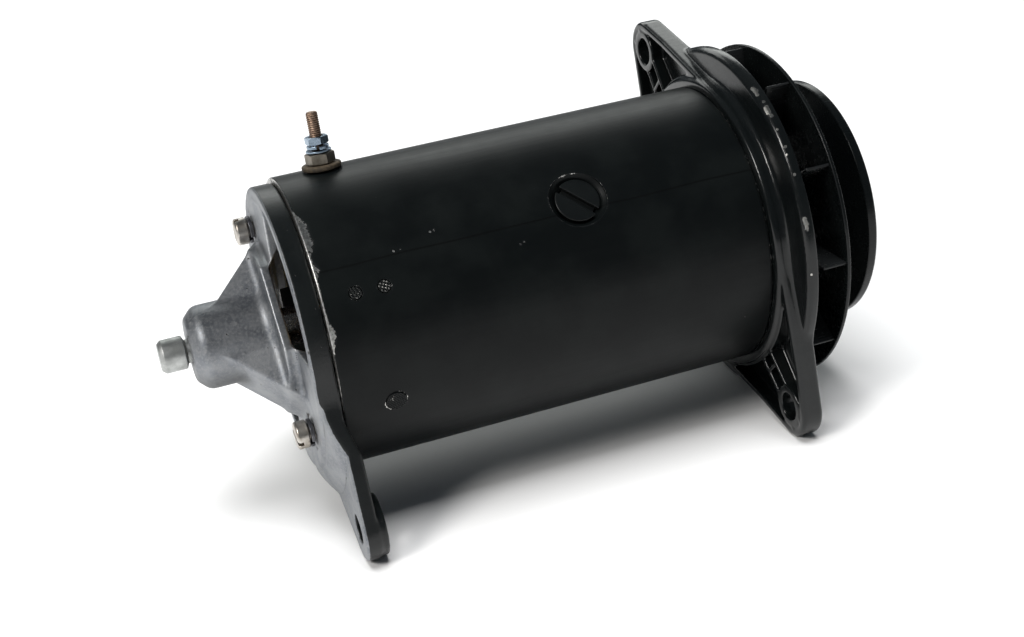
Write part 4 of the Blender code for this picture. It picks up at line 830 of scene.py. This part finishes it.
def drive_end_field(x, y, z):
    r = np.hypot(y, z)
    body = polygon_distance(DE_PROFILE, x, r)
    body = smooth_min(1.0, body, polygon_distance(DE_HUB, x, r))
    up = np.abs(z)
    flank = capsule_distance(y, up, 60.2, LUG_TIP_R, LUG_REACH)
    bore = np.hypot(y, up - LUG_REACH)
    lug_face = np.interp(up, (25, 75.5), (172.9, 175.65))
    lug = smooth_max(1.8, flank, lug_face - x, x - 184.4)
    lug = np.maximum(lug, 56 - r)
    body = smooth_min(1.2, body, lug)

    side = np.abs(y)
    rib = np.abs(side - 4.2) - 0.9
    web = np.maximum(side - 4.2, np.abs(up - 67.1) - 0.9)
    pocket = smooth_max(2.2, flank + 3.2, 61.9 - r, 8.8 - bore)
    pocket = smooth_max(1.2, pocket, -np.minimum(rib, web), x - 181)
    body = smooth_max(1.1, body, -pocket)

    bolt = np.hypot(y, up - BOLT_CIRCLE_R)
    body = smooth_min(0.8, body, smooth_max(0.5, bolt - 6, slab(x, 170, 180)))
    body = smooth_max(0.5, body, -np.maximum(bolt - 3.3, x - 183))
    turn = np.arctan2(z, y)
    off = np.abs((turn + pi / 6) % (pi / 3) - pi / 6)
    vent = smooth_max(4.0, slab(r, 33.5, 46), (off - radians(18.5)) * r)
    body = smooth_max(1.0, body, -vent)
    return smooth_max(0.9, body, LUG_BORE_R - bore)


def make_drive_end_bracket():
    finish_field("drive_end_bracket", drive_end_field, (168.9, -72, -97), (184.5, 72, 97), 0.55,
                 BRACKET_PAINT, reach=0.7)


# ---------------------------------------------------------------- fasteners

def hexagon_distance(x, y, across_flats):
    found = np.abs(x)
    for turn in (pi / 3, -pi / 3):
        found = np.maximum(found, np.abs(x * cos(turn) + y * sin(turn)))
    return found - across_flats / 2


def nut_field(across_flats, bore, low, high):
    corner = across_flats / sqrt(3)

    def field(x, y, z):
        r = np.hypot(x, y)
        body = smooth_max(0.25, hexagon_distance(x, y, across_flats), slab(z, low, high))
        ends = np.maximum(low - z, z - high)
        chamfer = (r + 1.9 * ends - corner + 0.07 * across_flats) * 0.47
        body = smooth_max(0.2, body, chamfer)
        mouth = (bore + 0.6 - r + (-ends - 0.6)) * 0.7
        return smooth_max(0.2, body, bore - r, -np.maximum(-mouth, -0.6 - ends))
    return field


def washer_field(inner, outer, low, high, opening=0.0, rise=0.0, start=0.0):
    """A flat washer or, with an opening, a split spring washer whose ends are offset."""
    def field(x, y, z):
        r = np.hypot(x, y)
        turn = (np.arctan2(y, x) - start) % (2 * pi)
        base = rise * (turn / (2 * pi))
        body = smooth_max(0.3, slab(r, inner, outer), slab(z - base, low, high - rise))
        if opening:
            away = np.minimum(turn, 2 * pi - turn)
            body = smooth_max(0.15, body, (opening / 2 - away) * r)
        return body
    return field


BOLT_SEAT = -RIM_X + 0.2
BOLT_HEAD_LOW = BOLT_SEAT + 2.2
BOLT_HEAD_TOP = BOLT_HEAD_LOW + 4.7
BOLT_HEAD_R, BOLT_SHANK_R, BOLT_STUB = 5.4, 3.0, 3.7


def slotted_bolt_field(x, y, z):
    """Fillister head of a through bolt, with a stub of its shank."""
    r = np.hypot(x, y)
    dome = (r + 1.3 * (z - BOLT_HEAD_TOP) - 4.6) * 0.61
    head = smooth_max(0.5, r - BOLT_HEAD_R, BOLT_HEAD_LOW - z, z - BOLT_HEAD_TOP, dome)
    stub = smooth_max(0.3, r - BOLT_SHANK_R, slab(z, BOLT_HEAD_LOW - BOLT_STUB, BOLT_HEAD_LOW + 0.8))
    body = smooth_min(0.3, head, stub)
    return smooth_max(0.2, body, -np.maximum(np.abs(x) - 0.8, BOLT_HEAD_LOW + 2.5 - z))


def make_through_bolts():
    joint = BOLT_HEAD_LOW - 3
    outline = [(-181.5, 0, 0), (-181.5, BOLT_SHANK_R, 0.5), (joint, BOLT_SHANK_R, 0), (joint, 0, 0)]
    shank = lathe(rounded(outline), 40, "Z")
    for label, side, turn in (("top", 1, radians(35)), ("bottom", -1, radians(-62))):
        place = facing_end(0, side * BOLT_CIRCLE_R)
        low, high = (-5.5, -5.5, BOLT_HEAD_LOW - BOLT_STUB), (5.5, 5.5, BOLT_HEAD_TOP)
        head = net(slotted_bolt_field, low, high, 0.2)
        bend = bend_of(slotted_bolt_field, head[0], 0.3)
        rods = len(shank[0])
        work = temporary(shank)
        shank_normals = np.array([v.normal for v in work.data.vertices], float)
        bpy.data.objects.remove(work, do_unlink=True)
        solid = joined(moved(head, Matrix.Rotation(turn, 4, "Z")), (shank[0], shank[1], shank_normals))
        wear = np.concatenate([np.clip(bend, 0, 1), np.zeros(rods)])
        hollow = np.concatenate([np.clip(-bend, 0, 1), np.zeros(rods)])
        finish_piece("through_bolt_" + label, moved(solid, place), STEEL, wear=wear,
                     hollow=hollow)
        ring = washer_field(3.3, 5.4, BOLT_SEAT, BOLT_SEAT + 2.0, radians(14), 0.5, radians(200))
        finish_field("bolt_spring_washer_" + label, ring, (-5.5, -5.5, BOLT_SEAT), (5.5, 5.5, BOLT_SEAT + 2),
                     0.17, BLACK_STEEL, place, reach=0.25)


def make_lubricator():
    outline = [(-38.9, 3.6, 0), (-38.9, 4.6, 0.3), (-45.9, 4.6, 0.3), (-46.7, 6.5, 0.5), (-54.6, 6.5, 0.5),
               (-56.2, 5.2, 1.0), (-56.2, 0, 0), (-52, 0, 0), (-52, 3.6, 0)]
    finish_piece("lubricator_cap", lathe(rounded(outline, guard=0.4), 80), CAP_STEEL)


def thread(radius, depth, pitch, low, high, tip):
    """A threaded rod on the Z axis, with its last turns run out to the tip radius."""
    across, along = 44, int((high - low) / 0.11)
    points, faces = [(0, 0, low)], []
    for i in range(along + 1):
        z = low + (high - low) * i / along
        for k in range(across):
            turn = 2 * pi * k / across
            phase = (z / pitch - turn / (2 * pi)) % 1
            cutting = depth * (1 - abs(2 * phase - 1) * 1.25)
            r = radius - max(0.0, min(depth, cutting))
            end = max(0.0, z - (high - 1.1)) / 1.1
            r = min(r, radius + (tip - radius) * end ** 2)
            lump = 0.06 * sin(5 * turn + 1.7 * z) * end
            points.append(((r + lump) * cos(turn), (r + lump) * sin(turn), z))
    points.append((0, 0, high + 0.1))
    for i in range(along):
        for k in range(across):
            a, b = 1 + i * across + k, 1 + i * across + (k + 1) % across
            faces.append((a, b, b + across, a + across))
    for k in range(across):
        last = 1 + along * across
        faces.append((0, 1 + (k + 1) % across, 1 + k))
        faces.append((len(points) - 1, last + k, last + (k + 1) % across))
    return np.array(points, float), faces, None


def make_terminal():
    place = station(TERMINAL_X, TERMINAL_ANGLE)
    rod = thread(2.35, 0.30, 0.8, 46.0, 79.3, 1.75)
    head = lathe(rounded([(44.6, 0, 0), (44.6, 5, 0.4), (46.6, 5, 0.4), (46.6, 0, 0)]), 40, "Z")
    pair = joined(rod, head)
    finish_piece("terminal_stud", moved((pair[0], pair[1], None), place), STUD)
    base = YOKE_R + 0.35
    outline = [(base, 2.65, 0), (base, 7.6, 0.5), (base + 1.9, 7.6, 0.6), (base + 1.9, 2.65, 0)]
    washer = lathe(rounded(outline), 64, "Z")
    finish_piece("terminal_fibre_washer", moved(washer, place), FIBRE)
    stack = (("terminal_lower_nut", nut_field, 10.0, 2.2, 4.1, NUT_STEEL, "bright_steel", 16),
             ("terminal_flat_washer", washer_field, 9.8, 6.6, 0.8, ZINC, "zinc_plate", 0),
             ("terminal_spring_washer", washer_field, 8.6, 7.6, 1.7, ZINC, "zinc_plate", 0),
             ("terminal_upper_nut", nut_field, 8.0, 9.6, 3.0, ZINC, "zinc_plate", 8))
    for node, shape, across, rise, height, look, slot, turn in stack:
        low, high = base + rise, base + rise + height
        if shape is nut_field:
            field = nut_field(across, 2.65, low, high)
        elif node.endswith("spring_washer"):
            field = washer_field(2.65, across / 2, low, high, radians(16), 0.45, radians(-100))
        else:
            field = washer_field(2.65, across / 2, low, high)
        reach = across / sqrt(3)
        finish_field(node, field, (-reach, -reach, low), (reach, reach, high), 0.16, look,
                     place @ Matrix.Rotation(radians(turn), 4, "Z"), reach=0.28)


def knurl(x, y, pitch, turn):
    """1 on the points of a squeezed grid and 0 in its furrows."""
    u, v = x * cos(turn) + y * sin(turn), y * cos(turn) - x * sin(turn)
    return np.sqrt(np.abs(np.sin(pi * u / pitch)) * np.abs(np.sin(pi * v / pitch)) + 1e-6)


def rivet_field(head_r, top, shank_low, inner_r, inner_top, pitch, depth, turn):
    """A rivet whose outer head is squeezed into a grid of small points."""
    def field(x, y, z):
        r = np.hypot(x, y)
        face = (z - top + depth * (1 - knurl(x, y, pitch, turn))) * 0.75
        dome = (z - top - 0.05 + 0.05 * (r / head_r) ** 2)
        outer = smooth_max(0.2, r - head_r, np.maximum(face, dome), shank_low - z)
        inner = smooth_max(0.2, r - inner_r, slab(z, shank_low - 0.2, inner_top))
        return np.minimum(outer, inner)
    return field


def make_rivet(node, place, head_r, top, shank_low, inner_r, inner_top, pitch, turn, rubbed_sheen):
    field = rivet_field(head_r, top, shank_low, inner_r, inner_top, pitch, 0.45 * pitch, turn)
    solid = net(field, (-inner_r, -inner_r, shank_low - 0.2), (inner_r, inner_r, top), 0.13)
    x, y, z = solid[0].T
    face = (z > top - 0.3) * (np.hypot(x, y) < head_r - 0.1)
    points = np.clip(2.6 * knurl(x, y, pitch, turn) - 1.5, 0, 1) * face
    wear = points * rubbed_sheen(x, y)
    finish_piece(node, moved(solid, place), RIVET_PAINT, wear=wear, hollow=1 - points)


def make_rivets():
    for label, half_turn in (("front", 0), ("rear", pi)):
        for index, x in enumerate(HOLDER_RIVET_X):
            middle = 1.6 if index else 0.9
            make_rivet("holder_rivet_%s_%d" % (label, index + 1), station(x, BRUSH_ANGLE + half_turn), 2.3,
                       YOKE_R + 0.45, 47.4, 3.0, 48.0, 1.15, radians(20 + 45 * index),
                       lambda u, v: np.clip(middle - 0.25 * np.hypot(u, v), 0.6, 1.3))
    rubbed_sheen = lambda u, v: np.clip(1.0 - 0.3 * np.hypot(u + 1.8, v - 1.8), 0.15, 1.0)
    make_rivet("field_earth_rivet", station(EARTH_RIVET_X, EARTH_RIVET_ANGLE), 3.85, YOKE_R + 0.6, 47.8, 5.5,
               49.8, 0.80, radians(12), rubbed_sheen)


# ---------------------------------------------------------------- rotor

def blade(angle):
    """One fan blade: a thin tab that stands off the disc, its free corners rounded."""
    front, root, low, high = 188.3, 198.6, 40.0, 68.4
    outline = rounded([(front, low, 0.8), (front, high, 1.0), (root, high, 0), (root, low, 0)], guard=0.4)
    edge = 0.35
    layers = []
    for offset, inset in ((-0.6, edge), (-0.6 + 0.4 * edge, 0.3 * edge), (-0.6 + edge, 0), (0.6 - edge, 0),
                          (0.6 - 0.4 * edge, 0.3 * edge), (0.6, edge)):
        layers.append([(max(x, front + inset), offset, min(max(r, low + inset), high - inset))
                       for x, r in outline])
    count = len(outline)
    points = [p for layer in layers for p in layer]
    faces = [tuple(range(count))[::-1], tuple(range(len(points) - count, len(points)))]
    for i in range(len(layers) - 1):
        for k in range(count):
            a, b = i * count + k, i * count + (k + 1) % count
            faces.append((a, b, b + count, a + count))
    return moved((np.array(points, float), faces, None), Matrix.Rotation(pi / 2 - angle, 4, "X"))


def make_fan():
    outline = [(198.1, 9, 0), (198.1, FAN_R, 0.45), (199.6, FAN_R, 0.45), (199.6, 9, 0)]
    disc = lathe(rounded(outline, guard=0.5), 200)
    parts = [disc] + [blade(FAN_BLADE_PHASE - 2 * pi * i / FAN_BLADES) for i in range(FAN_BLADES)]
    points, faces, _ = joined(*parts)
    finish_piece("fan", (points, faces, None), ROTOR_PAINT)


def make_pulley():
    outline = [(200.0, 8.8, 0), (200.0, 24, 0.4), (201.4, 25.5, 0.5), (201.4, PULLEY_R, 0.9),
               (204.6, PULLEY_R, 0.7), (209.2, 36.5, 0.8), (214.8, 36.5, 0.8), (219.4, PULLEY_R, 0.7),
               (223.3, PULLEY_R, 1.1), (223.3, 46.5, 0.8), (217.2, 33, 2.0), (207.5, 31, 2.0),
               (207.5, 15.5, 1.5), (217.7, 15.5, 0.6), (217.7, 8.8, 0.3)]
    wheel = lathe(rounded(outline, steps=5), 220)
    keyway = lathe([(190, 0), (190, 2.6), (230, 2.6), (230, 0)], 24)
    keyway = (keyway[0] * np.array([1, 0.9, 0.8]) + np.array([0, 0, 8.6]), keyway[1], None)
    finish_piece("pulley", cut(wheel, keyway), ROTOR_PAINT)
    ring = washer_field(8.1, 12.4, 218.0, 220.4, radians(12), 0.6, 0.6)
    finish_field("pulley_spring_washer", ring, (-12.5, -12.5, 218), (12.5, 12.5, 220.4), 0.28,
                 BLACK_STEEL, FACING_PULLEY, reach=0.4)
    low, high, corner = 220.6, 226.4, 12.9
    nut = nut_field(22.0, 8.1, low, high)
    finish_field("pulley_nut", nut, (-corner, -corner, low), (corner, corner, high), 0.32, STEEL,
                 FACING_PULLEY, reach=0.4)


def make_shaft():
    outline = [(-35.5, 0, 0), (-35.5, 7.5, 0.8), (2.5, 7.5, 0), (2.5, 9, 0.4), (165.8, 9, 0.4),
               (165.8, 8.5, 0), (217.4, 8.5, 0.2), (217.4, 7.7, 0), (228, 7.7, 1.0), (228, 0, 0)]
    rod = lathe(rounded(outline, guard=0.5), 72)
    box_points = [(x, y, z) for x in (204, 214.6) for y in (-2.3, 2.3) for z in (5.1, 11.7)]
    box_faces = [(0, 1, 3, 2), (4, 6, 7, 5), (0, 4, 5, 1), (2, 3, 7, 6), (0, 2, 6, 4), (1, 5, 7, 3)]
    keyway = (np.array(box_points, float), box_faces, None)
    centre = lathe([(225.5, 0), (228.2, 2.2), (229, 2.2), (229, 0)], 32)
    finish_piece("armature_shaft", cut(rod, keyway, centre), CLEAN_STEEL)
    collar = lathe(rounded([(181.8, 8.8, 0.2), (181.8, 13, 0.5), (197.8, 13, 0.5), (197.8, 8.8, 0.2)]), 80)
    finish_piece("distance_collar", collar, BLACK_STEEL)


def make_commutator():
    outline = [(5, 14.2, 0), (5, 20, 0.5), (30, 20, 0), (30, 23, 0.4), (34.2, 23, 0.4), (34.2, 14.2, 0)]
    profile = divided(rounded(outline, guard=0.5), 3.0)
    points, faces, _ = lathe(profile, 18 * 12)
    radius = np.hypot(points[:, 1], points[:, 2])
    bar = (np.arctan2(points[:, 2], points[:, 1]) * 18 / (2 * pi)) % 1
    groove = np.clip(1 - np.abs(bar - 0.5) * 14, 0, 1) * (points[:, 0] > 4.9) * (radius > 19)
    sunk = (radius - 0.75 * groove) / radius
    points[:, 1] *= sunk
    points[:, 2] *= sunk
    finish_piece("commutator", (points, faces, None), COPPER)


def dress_hidden_nodes():
    """Materials for the CAD nodes that are shown as they are."""
    looks = {
        "pole_shoe_front": LAMINATIONS, "pole_shoe_rear": LAMINATIONS, "armature_core": LAMINATIONS,
        "field_coil_front": TAPE, "field_coil_rear": TAPE, "armature_winding": WINDING,
        "end_bush": BRONZE, "lubricator_felt": FELT, "bearing_outer_ring": CLEAN_STEEL,
        "bearing_inner_ring": CLEAN_STEEL, "bearing_cage_and_balls": CLEAN_STEEL,
        "bearing_retaining_plate": STEEL, "retaining_screw_1": BLACK_STEEL, "retaining_screw_2": BLACK_STEEL,
        "retaining_screw_3": BLACK_STEEL, "terminal_insulating_bush": FIBRE, "commutator_insulator": FIBRE,
        "brush_holder_front": BRASS, "brush_holder_rear": BRASS, "brush_front": CARBON, "brush_rear": CARBON,
        "brush_spring_arm_front": BLACK_STEEL, "brush_spring_arm_rear": BLACK_STEEL, "shaft_key": CLEAN_STEEL,
    }
    for name, look in looks.items():
        node = frame["nodes"][name]
        if not node.material_slots:
            node.data.materials.append(look)
        for slot in node.material_slots:
            slot.material = look


# ---------------------------------------------------------------- stage

CAMERA_PLACE = Vector((-0.1669, -0.5450, 0.3185))
CAMERA_RIGHT = Vector((0.9351, -0.3367, -0.1103))
CAMERA_UP = Vector((0.2386, 0.3681, 0.8986))
CAMERA_AHEAD = Vector((0.2620, 0.8667, -0.4246))
FOCAL_LENGTH, FILM_WIDTH = 54.37, 36.0


def make_camera():
    data = bpy.data.cameras.new("camera")
    data.sensor_width = FILM_WIDTH
    data.lens = FOCAL_LENGTH
    data.clip_start, data.clip_end = 0.05, 20
    camera = bpy.data.objects.new("camera", data)
    bpy.context.scene.collection.objects.link(camera)
    turn = Matrix((CAMERA_RIGHT, CAMERA_UP, -CAMERA_AHEAD)).transposed()
    camera.matrix_world = Matrix.Translation(CAMERA_PLACE) @ turn.to_4x4()
    bpy.context.scene.camera = camera


def area_light(name, place, target, size, watts, colour):
    data = bpy.data.lights.new(name, "AREA")
    data.shape = "RECTANGLE"
    data.size, data.size_y = size
    data.energy = watts
    data.color = colour
    light = bpy.data.objects.new(name, data)
    bpy.context.scene.collection.objects.link(light)
    light.location = place
    light.rotation_euler = (Vector(target) - Vector(place)).to_track_quat("-Z", "Y").to_euler()
    return light


def make_stage():
    floor_mesh = bpy.data.meshes.new("floor")
    reach = 6.0
    corners = [(-reach, -reach, 0), (reach, -reach, 0), (reach, reach, 0), (-reach, reach, 0)]
    floor_mesh.from_pydata(corners, [], [(0, 1, 2, 3)])
    floor = bpy.data.objects.new("floor", floor_mesh)
    look = Look("floor_paper", Specular_IOR_Level=0.1)
    tone = look.level(look.noise(0.004, 2), 0.3, 0.7)
    look.set("Base Color", look.mix(tone, (0.86, 0.86, 0.86), (0.88, 0.88, 0.88)))
    look.set("Roughness", 0.9)
    floor_mesh.materials.append(look.material)
    bpy.context.scene.collection.objects.link(floor)

    world = bpy.data.worlds.new("studio")
    world.use_nodes = True
    world.node_tree.nodes["Background"].inputs["Color"].default_value = (0.80, 0.90, 1.0, 1)
    world.node_tree.nodes["Background"].inputs["Strength"].default_value = 0.10
    bpy.context.scene.world = world
    area_light("key", (-1.30, -0.60, 1.35), (-0.05, 0, 0.05), (0.55, 0.55), 21, (1.0, 0.98, 0.95))
    area_light("back", (0.30, 1.90, 1.15), (0, 0, 0), (2.6, 0.8), 17, (0.97, 1.0, 0.97))
    overhead = area_light("overhead", (0.0, -0.25, 3.0), (0, -0.1, 0), (1.8, 1.8), 100, (1.0, 1.0, 1.0))
    overhead.visible_glossy = False
    bpy.context.scene.view_settings.view_transform = "Standard"
    bpy.context.scene.view_settings.exposure = 0.0


make_camera()
make_stage()
make_yoke()
make_pole_screws()
make_commutator_end_bracket()
make_drive_end_bracket()
make_through_bolts()
make_lubricator()
make_terminal()
make_rivets()
make_fan()
make_pulley()
make_shaft()
make_commutator()
dress_hidden_nodes()
